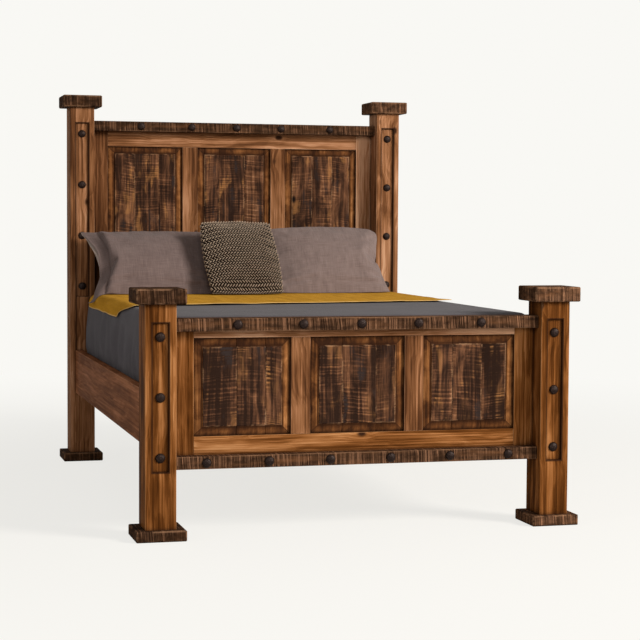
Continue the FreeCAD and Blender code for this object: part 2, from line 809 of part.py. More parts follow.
part(spread("ledger_screws", SCREWS["ledger"], ledger_screws), "ledger_screws")
part(spread("slat_screws", SCREWS["slat"], slat_screws), "slat_screws")


# Deck: slats across the ledgers

deck_top = ledger_top + size.slat_thick
all_slat_holes = spread("slat_holes", SCREW_HOLES["slat"], slat_screws)
slat_half = rail_inside - size.slat_end_gap
for number, along in enumerate(slat_places, start=1):
    name = "slat_%d" % number
    timber = block(name + "_timber", (-slat_half, along - size.slat_width / 2, ledger_top),
                   (slat_half, along + size.slat_width / 2, deck_top))
    part(cut(name, timber, all_slat_holes), name)


# Box spring and mattress: stuffed boxes with rounded corners and eased edges

def stuffed_box(name, thick, edge, bottom):
    body = doc.addObject("PartDesign::Body", name)
    face = sketch(body, name + "_face", "XY_Plane")
    rectangle(face, 0, 0, size.mattress_width, size.mattress_length)
    stuffing = pad(body, name + "_stuffing", face, thick)
    corners = eased(body, name + "_corners", "Fillet", stuffing, edges_along(body.Shape, "Z"),
                    size.mattress_corner)
    eased(body, name + "_edges", "Chamfer", corners, level_edges(body.Shape), edge)
    place(body, -size.mattress_width / 2, -size.mattress_length / 2, bottom)
    part(body, name)


mattress_bottom = deck_top + size.box_spring_thick
mattress_top = mattress_bottom + size.mattress_thick
stuffed_box("box_spring", size.box_spring_thick, size.box_spring_edge, deck_top)
stuffed_box("mattress", size.mattress_thick, size.mattress_edge, mattress_bottom)


# Sheet: a cloth skin over the mattress set whose sides hang in folds that deepen downwards and
# are tucked inside the rails

SIDE_FOLD_COUNT = 10
END_FOLD_COUNT = 8


def cloth_ring(out, height, fold_depth, side_count, end_count):
    """A level ring of cloth round the mattress, out from its side, its runs in folds or straight."""
    half_x = float(size.mattress_width / 2 + out)
    half_y = float(size.mattress_length / 2 + out)
    corner = float(size.mattress_corner + out)
    level = float(height)
    depth = float(fold_depth)
    turn_x = half_x - corner
    turn_y = half_y - corner
    edges = []
    for quarter, (run_half, stand, count) in enumerate((
            (turn_y, half_x, side_count), (turn_x, half_y, end_count)) * 2):
        turn = FreeCAD.Rotation(FreeCAD.Vector(0, 0, 1), 90 * quarter)

        def at(away, along):
            return turn.multVec(FreeCAD.Vector(away, along, 0)) + FreeCAD.Vector(0, 0, level)

        step = 2 * run_half / count
        for fold in range(count):
            start = at(stand, -run_half + step * fold)
            end = at(stand, -run_half + step * (fold + 1))
            if depth:
                bulge = depth / 2 if fold % 2 else -depth / 2
                middle = at(stand + bulge, -run_half + step * (fold + 0.5))
                edges.append(Part.Arc(start, middle, end).toShape())
            else:
                edges.append(Part.LineSegment(start, end).toShape())
        bend = corner * math.sqrt(0.5)
        around = Part.Arc(at(stand, run_half), at(stand - corner + bend, run_half + bend),
                          at(stand - corner, run_half + corner))
        edges.append(around.toShape())
    return Part.Wire(edges)


# Rings up a rolled edge: shares of its width inwards and of its height downwards
ROLLED_EDGE_SHARES = ((0, 1), (0.3, 0.3), (1, 0))


def domed_slab(out, bottom, top, edge):
    """A block of the mattress's own outline, grown outwards, with its top edge rolled."""
    rings = [cloth_ring(out, bottom, 0, 1, 1)]
    for inward_share, downward_share in ROLLED_EDGE_SHARES:
        rings.append(cloth_ring(out - edge * inward_share, top - edge * downward_share, 0, 1, 1))
    return Part.makeLoft(rings, True, True)


sheet_in = size.cloth_clearance
sheet_out = sheet_in + size.cloth_thick
sheet_top = mattress_top + sheet_out
fold_start = sheet_top - size.sheet_fold_start
sheet_bottom = rail_top - size.sheet_tuck
crown = domed_slab(sheet_out, fold_start, sheet_top, size.mattress_edge + sheet_out)
fold_middle = sheet_out + size.sheet_fold_depth / 2
straight_ring = cloth_ring(sheet_out, fold_start, 0, SIDE_FOLD_COUNT, END_FOLD_COUNT)
folded_ring = cloth_ring(fold_middle, sheet_bottom, size.sheet_fold_depth, SIDE_FOLD_COUNT, END_FOLD_COUNT)
skirt = Part.makeLoft([straight_ring, folded_ring], True, True)
inside = domed_slab(sheet_in, sheet_bottom - size.overrun, mattress_top + sheet_in,
                    size.mattress_edge + sheet_in)
bed_sheet = doc.addObject("Part::Feature", "bed_sheet")
bed_sheet.Shape = crown.fuse(skirt).cut(inside)
part(bed_sheet, "bed_sheet")


# Throw: laid across the bed under the pillows, its front edge askew, with one corner hanging in
# a point over the left side

# Front edge from left to right: shares of the sheet's half width and of the mattress's half length
THROW_FRONT_SHARES = ((-0.94, -0.298), (-0.65, -0.22), (-0.36, -0.208), (0.02, -0.142), (0.44, -0.103),
                      (0.83, -0.059), (0.98, -0.065))
# Lower edge of the hanging side from front to back: shares of half length and of the hang
THROW_HANG_SHARES = ((-0.22, 0.1), (0.07, 1), (0.4, 0.66), (0.83, 0.95))

throw_bottom = sheet_top + size.soft_clearance
throw_top = throw_bottom + size.throw_thick
sheet_half = float(size.mattress_width / 2 + sheet_out)
half_length = float(size.mattress_length / 2)
throw_side = sheet_half + float(size.cloth_clearance) * 2
throw_back = half_length - float(size.throw_head_gap)
front_edge = [FreeCAD.Vector(sheet_half * across, half_length * along, float(throw_bottom))
              for across, along in THROW_FRONT_SHARES]
back_left = FreeCAD.Vector(-throw_side, throw_back, float(throw_bottom))
back_right = FreeCAD.Vector(front_edge[-1].x, throw_back, float(throw_bottom))
front_left = FreeCAD.Vector(-throw_side, half_length * THROW_HANG_SHARES[0][0], float(throw_bottom))
laid_ring = Part.makePolygon([front_left] + front_edge + [back_right, back_left, front_left])
laid = Part.Face(laid_ring).extrude(FreeCAD.Vector(0, 0, float(size.throw_thick)))
hang_edge = [FreeCAD.Vector(-throw_side, half_length * along, float(throw_top - size.throw_hang * down))
             for along, down in THROW_HANG_SHARES]
back_top = FreeCAD.Vector(-throw_side, throw_back, float(throw_top))
front_top = FreeCAD.Vector(-throw_side, hang_edge[0].y, float(throw_top))
hang_ring = Part.makePolygon(hang_edge + [FreeCAD.Vector(-throw_side, back_top.y, hang_edge[-1].z),
                                          back_top, front_top, hang_edge[0]])
hanging = Part.Face(hang_ring).extrude(FreeCAD.Vector(-float(size.throw_thick), 0, 0))
throw_blanket = doc.addObject("Part::Feature", "throw_blanket")
throw_blanket.Shape = laid.fuse(hanging).removeSplitter()
part(throw_blanket, "throw_blanket")


# Pillows and cushion: forms that swell from a seam to a crown on each face, with sides drawn in
# between the corners, leaning back on the bed

# Rings from the seam to the crown: shares of the half size that is left and of the half thickness
CROWN_RING_SHARES = ((0.9, 0.42), (0.74, 0.75), (0.5, 0.94), (0.24, 1))
DRAWN_IN_SHARE = 0.07
SIDE_LINE_COUNT = 8


def seam_ring(width, height, size_share, out):
    """The outline at one level: four sides drawn in between pointed corners, each in short lines."""
    half_x = float(width) / 2 * size_share
    half_y = float(height) / 2 * size_share
    middle = float(height) / 2
    corners = [FreeCAD.Vector(half_x * across, middle + half_y * up, out)
               for across, up in ((-1, -1), (1, -1), (1, 1), (-1, 1))]
    drawn = 1 - DRAWN_IN_SHARE
    middles = [FreeCAD.Vector(half_x * across * drawn, middle + half_y * up * drawn, out)
               for across, up in ((0, -1), (1, 0), (0, 1), (-1, 0))]
    points = []
    for start, between, end in zip(corners, middles, corners[1:] + corners[:1]):
        side = Part.Arc(start, between, end).toShape()
        points += side.discretize(Number=SIDE_LINE_COUNT + 1)[:-1]
    return points


def flat_face(points):
    return Part.Face(Part.makePolygon(points + points[:1]))


def padded_form(width, height, thick, edge):
    """Upright in its own frame: width along X, height along Y, and its front towards Z."""
    seam = float(edge) / 2
    swell = float(thick) / 2
    front = [seam_ring(width, height, 1, seam)]
    back = [seam_ring(width, height, 1, -seam)]
    for size_share, swell_share in CROWN_RING_SHARES:
        front.append(seam_ring(width, height, size_share, swell * swell_share))
        back.append(seam_ring(width, height, size_share, -swell * swell_share))
    rings = back[::-1] + front
    faces = [flat_face(rings[0]), flat_face(rings[-1])]
    for lower, upper in zip(rings, rings[1:]):
        for number in range(len(lower)):
            faces.append(flat_face([lower[number - 1], lower[number], upper[number], upper[number - 1]]))
    shell = Part.makeShell(faces)
    shell.sewShape()
    return Part.Solid(shell)


def lean(label, form, lean_angle, turn_angle, middle, head_gap):
    """Leans a form back on the throw at a gap from the bed's head, its lowest edge just clear."""
    item = doc.addObject("Part::Feature", label)
    item.Shape = form
    upright = FreeCAD.Rotation(FreeCAD.Vector(1, 0, 0), lean_angle)
    turned = FreeCAD.Rotation(FreeCAD.Vector(0, 0, 1), turn_angle).multiply(upright)
    along = half_length - float(head_gap)
    item.Placement = FreeCAD.Placement(FreeCAD.Vector(float(middle), along, 0), turned)
    rise = float(throw_top + size.soft_clearance) - item.Shape.BoundBox.ZMin
    item.Placement.Base.z = rise
    part(item, label)


pillow_left = padded_form(size.pillow_left_width, size.pillow_height, size.pillow_thick, size.pillow_edge)
flange_end = -float(size.pillow_left_width / 2 + size.pillow_flange)
flange = Part.makeBox(float(size.pillow_flange * 2), float(size.pillow_height), float(size.pillow_edge),
                      FreeCAD.Vector(flange_end, 0, -float(size.pillow_edge / 2)))
pillow_right = padded_form(size.pillow_right_width, size.pillow_height, size.pillow_thick, size.pillow_edge)
cushion = padded_form(size.cushion_width, size.cushion_height, size.cushion_thick, size.pillow_edge)
lean("pillow_left", pillow_left.fuse(flange), PILLOW_LEFT_ANGLE, 0, size.pillow_left_middle,
     size.pillow_left_head_gap)
lean("pillow_right", pillow_right, PILLOW_RIGHT_ANGLE, 0, size.pillow_right_middle,
     size.pillow_right_head_gap)
lean("knit_cushion", cushion, CUSHION_ANGLE, CUSHION_TURN_ANGLE, size.cushion_middle,
     size.cushion_head_gap)


# Every object is sound before anything is written

doc.recompute()
for item in doc.Objects:
    if "Invalid" in item.State or "Error" in item.State:
        raise RuntimeError("%s failed: %s" % (item.Name, item.State))
for label, item in PARTS.items():
    if item.Shape.isNull() or not item.Shape.isValid():
        raise RuntimeError(label + " has no sound shape")

os.makedirs("parts", exist_ok=True)
for label, item in PARTS.items():
    item.Shape.exportStep("parts/%s.step" % label)
print("%d pieces written" % len(PARTS))
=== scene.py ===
import math

import bmesh
import bpy
from mathutils import Matrix, Vector, noise


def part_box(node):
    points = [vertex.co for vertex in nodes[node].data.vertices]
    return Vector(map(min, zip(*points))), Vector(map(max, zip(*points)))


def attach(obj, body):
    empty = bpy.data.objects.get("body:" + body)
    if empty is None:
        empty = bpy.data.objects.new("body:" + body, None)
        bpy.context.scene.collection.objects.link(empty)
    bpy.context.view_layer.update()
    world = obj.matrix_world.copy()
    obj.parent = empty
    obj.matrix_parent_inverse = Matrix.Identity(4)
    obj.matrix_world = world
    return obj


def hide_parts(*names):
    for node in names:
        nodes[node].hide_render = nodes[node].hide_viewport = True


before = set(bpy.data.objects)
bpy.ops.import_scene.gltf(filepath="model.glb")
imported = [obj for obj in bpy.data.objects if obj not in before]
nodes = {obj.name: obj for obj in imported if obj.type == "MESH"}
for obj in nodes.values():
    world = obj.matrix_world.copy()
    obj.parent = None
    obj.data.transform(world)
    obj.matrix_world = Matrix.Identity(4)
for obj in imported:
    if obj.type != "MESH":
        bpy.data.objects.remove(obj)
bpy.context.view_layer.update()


# Posts: four squared pine timbers, stained amber and rubbed back by hand, with a long recess down
# the front of each. A stub tenon at each end holds the cap and the foot, and the rails hook in.

class Nodes:
    """Builds a tree of shader nodes, one node at a time."""

    def __init__(self, tree):
        self.tree = tree

    def give(self, socket, value):
        if isinstance(value, bpy.types.NodeSocket):
            self.tree.links.new(value, socket)
        elif value is not None:
            socket.default_value = value

    def node(self, kind, *inputs, **settings):
        made = self.tree.nodes.new("ShaderNode" + kind)
        for name, value in settings.items():
            setattr(made, name, value)
        for socket, value in zip(made.inputs, inputs):
            self.give(socket, value)
        return made

    def maths(self, first, operation, second=None, third=None):
        return self.node("Math", first, second, third, operation=operation).outputs[0]


class Finish(Nodes):
    """One procedural finish, built on the piece's own coordinates."""

    def __init__(self, name):
        self.material = bpy.data.materials.new(name)
        self.material.use_nodes = True
        super().__init__(self.material.node_tree)
        self.shader = self.tree.nodes["Principled BSDF"]
        where = self.node("TexCoord").outputs
        self.place, self.facing, self.flat = where["Object"], where["Normal"], where["UV"]

    def parts(self, vector):
        return list(self.node("SeparateXYZ", vector).outputs)

    def joined(self, *lengths):
        return self.node("CombineXYZ", *lengths).outputs[0]

    def stretched(self, vector, scales):
        return self.node("VectorMath", vector, scales, operation="MULTIPLY").outputs[0]

    def moved(self, vector, *shift):
        return self.node("VectorMath", vector, shift, operation="ADD").outputs[0]

    def girth(self):
        """How far along the face a point lies: by x on front and back, and by y on the sides."""
        x, y = self.parts(self.place)[:2]
        sideways = self.maths(self.size(self.parts(self.facing)[0]), "GREATER_THAN", 0.7)
        return self.scaled(self.less(y, x), sideways, x)

    def noise(self, vector, scale, detail=2.0, rough=0.5, twist=0.0):
        """Cloudy noise, with one scale for all axes or one for each."""
        if isinstance(scale, tuple):
            vector, scale = self.stretched(vector, scale), 1.0
        return self.node("TexNoise", vector, None, scale, detail, rough, None, None, None, twist).outputs[0]

    def lines(self, along, scale, detail=2.0, rough=0.5):
        """Uneven lines that change along one length only."""
        made = self.node("TexNoise", None, along, scale, detail, rough, noise_dimensions="1D")
        return made.outputs[0]

    def knots(self, vector, scales):
        """The distance from the nearest of some scattered knots."""
        return self.node("TexVoronoi", self.stretched(vector, scales), None, 1.0).outputs["Distance"]

    def rings(self, vector, scale, finer, push):
        """Wavering year rings round the grain, moved outwards by push."""
        waver, detail, rough = 3.4, 3.0, 0.6
        made = self.node("TexWave", vector, scale, waver, detail, finer, rough, push,
                         wave_type="RINGS", rings_direction="Z", wave_profile="SAW")
        return made.outputs["Fac"]

    def times(self, first, second):
        return self.maths(first, "MULTIPLY", second)

    def scaled(self, value, by, start):
        return self.maths(value, "MULTIPLY_ADD", by, start)

    def plus(self, first, second):
        return self.maths(first, "ADD", second)

    def less(self, first, second):
        return self.maths(first, "SUBTRACT", second)

    def larger(self, first, second):
        return self.maths(first, "MAXIMUM", second)

    def smaller(self, first, second):
        return self.maths(first, "MINIMUM", second)

    def size(self, value):
        return self.maths(value, "ABSOLUTE")

    def level(self, value, low, high):
        """Nought at low, one at high, and smooth between."""
        made = self.node("MapRange", value, low, high, interpolation_type="SMOOTHSTEP")
        return made.outputs[0]

    def ramp(self, value, *stops):
        made = self.node("ValToRGB", value)
        band = made.color_ramp
        while len(band.elements) < len(stops):
            band.elements.new(1.0)
        for element, (position, colour) in zip(band.elements, stops):
            element.position = position
            element.color = (*colour, 1.0)
        return made.outputs[0]

    def mix(self, share, first, second):
        made = self.node("Mix", data_type="RGBA", clamp_factor=True)
        for socket, value in ((made.inputs[0], share), (made.inputs[6], first), (made.inputs[7], second)):
            self.give(socket, (*value, 1.0) if isinstance(value, tuple) else value)
        return made.outputs[2]

    def mark(self, name):
        return self.node("Attribute", attribute_name=name).outputs["Fac"]

    def corner_shade(self, reach, low, high):
        """One in tight corners, where shade falls, and nought in the open; it says where shade is painted.
        """
        made = self.node("AmbientOcclusion", None, reach, samples=8)
        return self.level(self.less(1.0, made.outputs["AO"]), low, high)

    def surface(self, colour, rough, height=None, depth=0.001, specular=0.5, sheen=0.0, metallic=0.0):
        for name, value in (("Base Color", colour), ("Roughness", rough), ("Metallic", metallic),
                            ("Specular IOR Level", specular), ("Sheen Weight", sheen)):
            self.give(self.shader.inputs[name], value)
        if height is not None:
            bump = self.node("Bump", 1.0, depth)
            self.give(bump.inputs["Height"], height)
            self.give(self.shader.inputs["Normal"], bump.outputs[0])
        return self.material


def within(wood, spot, low, high):
    """How far a spot lies inside an oblong, less than nought outside it."""
    gaps = [wood.smaller(wood.less(here, least), wood.less(most, here))
            for here, least, most in zip(spot, low, high)]
    return wood.smaller(gaps[0], gaps[1])


def stained_pine(name, grain, seed, tones, shade=0.0, gloss=0.5, recess=None):
    """Knotty pine under an amber stain, its streaks and year rings running along one axis.
    Painted shade darkens its tight corners, its marked walls and the edges of a recess, given by its low and
    high corners."""
    wood = Finish(name)
    x, y, z = wood.parts(wood.place)
    across, through, along = {"x": (y, z, x), "y": (z, x, y), "z": (x, y, z)}[grain]
    spot = wood.moved(wood.joined(across, through, along), seed * 1.37, seed * 2.11, seed * 3.73)
    a, b, g = wood.parts(spot)
    knot = wood.knots(spot, (7, 7, 4.5))
    pull = wood.level(knot, 0.36, 0.05)
    wander = wood.noise(spot, (3.0, 3.0, 1.7), 3.0)
    drift = wood.scaled(wander, 0.13, a)
    sway = wood.scaled(wander, -0.09, b)
    bent = wood.joined(drift, sway, wood.times(g, 0.05))
    rings = wood.rings(bent, 30.0, 1.7, wood.times(pull, 7.0))
    lined = wood.joined(wood.scaled(pull, 0.012, drift), sway, wood.times(g, 0.02))
    streak = wood.noise(lined, (42, 42, 48), 4.0, 0.62)
    fibre = wood.noise(spot, (150, 150, 2.6), 3.0, 0.6)
    pores = wood.noise(spot, (420, 420, 7), 2.0, 0.6)
    blotch = wood.noise(spot, (7, 7, 2.1), 3.0, 0.55, 0.5)
    tone = wood.scaled(wood.level(streak, 0.30, 0.70), 0.46, shade - 0.36)
    tone = wood.scaled(wood.level(blotch, 0.28, 0.74), 0.44, tone)
    tone = wood.scaled(wood.level(fibre, 0.30, 0.72), 0.30, tone)
    tone = wood.scaled(rings, -0.17, wood.plus(tone, 0.17))
    colour = wood.ramp(tone, *tones)
    colour = wood.mix(wood.times(wood.level(pores, 0.60, 0.74), 0.45), colour, tones[0][1])
    colour = wood.mix(wood.level(knot, 0.12, 0.05), colour, (0.030, 0.013, 0.007))
    rubbed = wood.times(wood.mark("worn"), wood.level(fibre, 0.38, 0.62))
    colour = wood.mix(wood.times(rubbed, 0.40), colour, tones[-1][1])
    # Painted shade: tight corners, the marked walls and a band round the recess's edges are darkened, as
    # where shade falls.
    painted_shade = wood.larger(wood.corner_shade(0.030, 0.18, 0.72), wood.mark("wall_shade"))
    if recess:
        edge = wood.size(wood.plus(within(wood, (x, z), *recess), 0.001))
        painted_shade = wood.larger(painted_shade, wood.level(edge, 0.0052, 0.0022))
    colour = wood.mix(wood.times(painted_shade, 0.86), colour, (0.018, 0.007, 0.004))
    relief = wood.scaled(fibre, 0.6, wood.times(rings, -0.35))
    return wood.surface(colour, wood.scaled(fibre, 0.16, gloss - 0.08), relief, 0.0008, specular=0.002)


AMBER = ((0.0, (0.040, 0.013, 0.003)), (0.25, (0.092, 0.031, 0.007)), (0.5, (0.185, 0.069, 0.019)),
         (0.75, (0.310, 0.134, 0.048)), (1.0, (0.480, 0.250, 0.112)))
FADED = ((0.0, (0.045, 0.018, 0.008)), (0.25, (0.100, 0.040, 0.016)), (0.5, (0.195, 0.085, 0.036)),
         (0.75, (0.325, 0.157, 0.080)), (1.0, (0.490, 0.278, 0.165)))


def whole(shape):
    """All that a shape is made of, as the operators ask for it."""
    return shape.verts[:] + shape.edges[:] + shape.faces[:]


def rounded(shape, lines, radius, segments):
    """Rounds off some edges of a shape."""
    bmesh.ops.bevel(shape, geom=lines, offset=radius, affect="EDGES", segments=segments, profile=0.5,
                    material=-1)


def extent(points):
    """The low and high corners of the box round some points."""
    return [Vector(end(point[axis] for point in points) for axis in range(3)) for end in (min, max)]


def timber(node, arris, joints=()):
    """A copy of a CAD timber with its arrises knocked off, and a fine groove at each glued joint.
    Rounded faces are marked as worn."""
    shape = bmesh.new()
    shape.from_mesh(nodes[node].data)
    bmesh.ops.remove_doubles(shape, verts=shape.verts, dist=1e-5)
    glued = [face for face in shape.faces if abs(face.normal.x) > 0.99
             and any(abs(face.calc_center_bounds().x - joint) < 2e-4 for joint in joints)]
    bmesh.ops.delete(shape, geom=glued, context="FACES_ONLY")
    bmesh.ops.dissolve_limit(shape, angle_limit=math.radians(1), verts=shape.verts, edges=shape.edges)
    sharp = [edge for edge in shape.edges if len(edge.link_faces) == 2 and edge.calc_length() > 0.03
             and edge.calc_face_angle_signed() > math.radians(25)]
    rounded(shape, sharp, arris, segments=2)
    for joint in joints:
        for aside in (-1.4, 0.0, 1.4):
            bmesh.ops.bisect_plane(shape, geom=whole(shape), plane_co=(joint + aside * arris, 0, 0),
                                   plane_no=(1, 0, 0))
        for vert in shape.verts:
            if abs(vert.co.x - joint) < 1e-5 and vert.normal.y < 0:
                vert.co.y += arris
    shape.normal_update()
    worn = shape.faces.layers.float.new("worn")
    for face in shape.faces:
        slope = max(abs(part) for part in face.normal)
        face[worn] = 1.0 if slope < 0.96 else 0.0
    return shape


def mark_shaded_walls(shape, is_wall):
    """Marks the faces that get painted shade, darkened as though no light reached them."""
    wall_shade = shape.faces.layers.float.new("wall_shade")
    for face in shape.faces:
        face[wall_shade] = 1.0 if is_wall(face.normal, face.calc_center_bounds()) else 0.0
    return shape


def piece(shape, name, body, material, slot, *stands_for):
    """Makes a finished mesh a piece of the object that moves with its body."""
    mesh = bpy.data.meshes.new(name)
    shape.to_mesh(mesh)
    shape.free()
    mesh.shade_smooth()
    mesh.set_sharp_from_angle(angle=math.radians(12))
    mesh.materials.append(material)
    item = bpy.data.objects.new(name, mesh)
    bpy.context.scene.collection.objects.link(item)
    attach(item, body)
    if stands_for:
        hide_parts(*stands_for)
    return item


def recess_wall(way, spot, low, high):
    """Whether a face is a wall of a post's recess, clear of the post's own sides and ends."""
    return (abs(way.y) < 0.5 and low[0] + 0.01 < spot.x < high[0] - 0.01
            and low[2] + 0.08 < spot.z < high[2] - 0.04)


# Each post's tone shift is partly its own tone and partly painted light: the headboard's posts are lightened
# to make up for the lamp's light falling off towards them.
post_stains_and_light = {"footboard_post_left": (AMBER, -0.03), "footboard_post_right": (AMBER, 0.0),
               "headboard_post_left": (FADED, 0.16), "headboard_post_right": (FADED, 0.33)}
for number, (node, (tones, shade)) in enumerate(post_stains_and_light.items()):
    low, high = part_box(node)
    # The walls of each post's recess get painted shade.
    shape = mark_shaded_walls(timber(node, arris=0.0022), lambda way, spot: recess_wall(way, spot, low, high))
    shallow, deep, side = low[1] + 0.009, low[1] + 0.016, 0.01
    sunk = [vert.co for vert in shape.verts if shallow < vert.co.y < deep
            and low[0] + side < vert.co.x < high[0] - side]
    recess = [corner.xz for corner in extent(sunk)]
    stain = stained_pine("stain_" + node, "z", 3.1 + number * 1.7, tones, shade, recess=recess)
    piece(shape, "stained_" + node, "bed_frame", stain, "stained_pine", node)


# Panel frames: stiles, rails and mullions of the same stained pine, tongued into each other and
# into the posts, with a groove round their inner edges that holds the panels.

# Each piece's tone shift is partly its own tone and partly painted light: the right-hand stiles and the
# footboard's top rail are lightened to cancel the shadows that the posts and the top strip cast on them, and
# the headboard's pieces are lightened where the lamp's light falls off.
frame_stains_and_light = {
    "footboard_stile_left": (AMBER, 0.08), "footboard_stile_right": (AMBER, 0.19),
    "footboard_mullion_left": (FADED, 0.15), "footboard_mullion_right": (FADED, 0.03),
    "footboard_top_rail": (FADED, 0.48), "footboard_bottom_rail": (AMBER, 0.19),
    "headboard_stile_left": (FADED, -0.16), "headboard_stile_right": (FADED, 0.48),
    "headboard_mullion_left": (FADED, 0.05), "headboard_mullion_right": (FADED, 0.08),
    "headboard_top_rail": (FADED, 0.33), "headboard_bottom_rail": (FADED, 0.24)}
for number, (node, (tones, shade)) in enumerate(frame_stains_and_light.items()):
    grain = "x" if node.endswith("rail") else "z"
    # Every face of a frame piece that stands sideways to the front gets painted shade.
    shape = mark_shaded_walls(timber(node, arris=0.002), lambda way, spot: abs(way.y) < 0.5)
    stain = stained_pine("stain_" + node, grain, 11.3 + number * 1.9, tones, shade)
    piece(shape, "stained_" + node, "bed_frame", stain, "stained_pine", node)


# Raised panels: each glued up from three upright planks, rough-sawn on the field, then stained
# nearly black and worn back to honey; the bevelled margins are planed and rubbed lighter.

def worn_panel(name, seed, light, low, high, joints):
    """Dark stain over saw marks; low and high are the raised field's corners, joints its plank lines."""
    wood = Finish(name)
    x, y, z = wood.parts(wood.place)
    plank = wood.mark("plank")
    spot = wood.joined(wood.scaled(plank, 5.3, x), wood.scaled(plank, 2.9, y),
                       wood.scaled(plank, 7.7, z))
    spot = wood.moved(spot, seed * 1.3, seed * 0.7, seed * 2.9)
    a, b, g = wood.parts(spot)
    patch = wood.noise(spot, (11, 11, 5.5), 4.0, 0.62, 0.8)
    knot = wood.knots(spot, (6, 6, 4))
    wander = wood.noise(spot, (4, 4, 2.2), 2.0)
    drift = wood.scaled(wander, 0.055, a)
    bent = wood.joined(drift, wood.scaled(wander, -0.09, b), wood.times(g, 0.06))
    rings = wood.rings(bent, 24.0, 1.6, wood.times(wood.level(knot, 0.38, 0.04), 8.0))
    streak = wood.noise(wood.joined(drift, b, g), (66, 66, 2.6), 4.0, 0.66)
    slant = wood.scaled(plank, 0.34, -0.14)
    kerf = wood.plus(wood.times(a, slant), wood.scaled(patch, 0.016, g))
    saw = wood.lines(kerf, 118.0, 1.0, 0.5)
    teeth = wood.lines(kerf, 250.0, 1.0, 0.5)
    bite = wood.level(wood.noise(spot, (15, 15, 7), 3.0), 0.36, 0.60)
    marks = wood.scaled(wood.level(saw, 0.44, 0.66), 0.8, wood.times(teeth, 0.4))
    marks = wood.times(wood.less(marks, 0.52), bite)
    scratch = wood.level(wood.noise(spot, (210, 210, 4), 2.0, 0.6), 0.56, 0.70)
    honey = wood.scaled(wood.level(patch, 0.36, 0.66), 0.44, wood.scaled(plank, 0.22, light - 0.30))
    honey = wood.scaled(wood.level(streak, 0.32, 0.68), 0.50, honey)
    honey = wood.scaled(rings, -0.12, wood.scaled(marks, 0.37, honey))
    honey = wood.scaled(scratch, 0.22, honey)
    field = wood.ramp(honey, (0.0, (0.019, 0.010, 0.007)), (0.24, (0.042, 0.020, 0.012)),
                      (0.50, (0.094, 0.042, 0.022)), (0.78, (0.185, 0.085, 0.043)),
                      (1.0, (0.330, 0.175, 0.096)))
    thin = wood.noise(wood.joined(drift, b, g), (15, 15, 6), 3.0, 0.6, 0.3)
    thin = wood.scaled(streak, 0.34, wood.plus(thin, -0.17))
    bare = wood.times(wood.level(thin, 0.57 - light * 0.1, 0.74 - light * 0.4),
                      wood.scaled(marks, 0.9, light * 2.4 + 0.28))
    field = wood.mix(bare, field, (0.285, 0.130, 0.046))
    sooty = wood.times(wood.level(thin, 0.44, 0.32), wood.scaled(marks, -0.8, 0.58))
    field = wood.mix(sooty, field, (0.027, 0.020, 0.019))
    field = wood.mix(wood.level(knot, 0.11, 0.04), field, (0.010, 0.007, 0.006))
    beside = wood.smaller(wood.less(x, low[0]), wood.less(high[0], x))
    above = wood.smaller(wood.less(z, low[1]), wood.less(high[1], z))
    inside = wood.smaller(beside, above)
    front = wood.mark("front")
    crosswise = wood.times(wood.maths(above, "LESS_THAN", beside), front)
    left_half_shade = wood.maths(x, "LESS_THAN", (low[0] + high[0]) / 2)
    still = wood.moved(wood.place, seed * 2.7, seed * 1.1, seed * 0.9)
    smear = wood.noise(still, (13, 13, 13), 4.0, 0.6, 0.6)
    fibres = wood.noise(still, (78, 62, 3.0), 4.0, 0.66)
    # Painted shade: the margins' top and bottom runs and their left half are made darker, as in the rails'
    # shadow and turned away from light that comes from the right.
    planed = wood.times(wood.level(fibres, 0.30, 0.70), wood.scaled(crosswise, -0.30, 0.60))
    planed = wood.scaled(wood.level(smear, 0.30, 0.72), 0.46, wood.plus(planed, -0.06))
    planed = wood.scaled(crosswise, -0.04, wood.scaled(left_half_shade, -0.10, planed))
    margin = wood.ramp(planed, (0.0, (0.034, 0.014, 0.007)), (0.35, (0.105, 0.040, 0.014)),
                       (0.7, (0.220, 0.090, 0.030)), (1.0, (0.400, 0.190, 0.074)))
    # Painted shade on the margins, in uneven patches and strongest on the top and bottom runs: dark bands
    # next to the field and next to the frame, a dark line just outside the field and dark lines down the
    # mitres.
    shade_strength = wood.scaled(wood.level(smear, 0.62, 0.36), 0.65, 0.25)
    shade_strength = wood.larger(shade_strength, wood.times(crosswise, 0.72))
    near_field = wood.level(inside, wood.scaled(crosswise, -0.012, -0.012), -0.004)
    near_frame = wood.times(wood.level(inside, -0.022, -0.035), wood.scaled(crosswise, -0.4, 0.9))
    margin_shade = wood.times(wood.larger(near_field, near_frame), shade_strength)
    ring = wood.level(wood.size(wood.plus(inside, 0.0058)), 0.0036, 0.0016)
    margin_shade = wood.larger(margin_shade, wood.times(ring, 0.85))
    mitre = wood.level(wood.size(wood.less(beside, above)), 0.0030, 0.0008)
    margin_shade = wood.larger(margin_shade, wood.times(mitre, 0.7))
    margin = wood.mix(wood.times(margin_shade, front), margin, (0.022, 0.009, 0.005))
    colour = wood.mix(wood.mark("field"), margin, field)
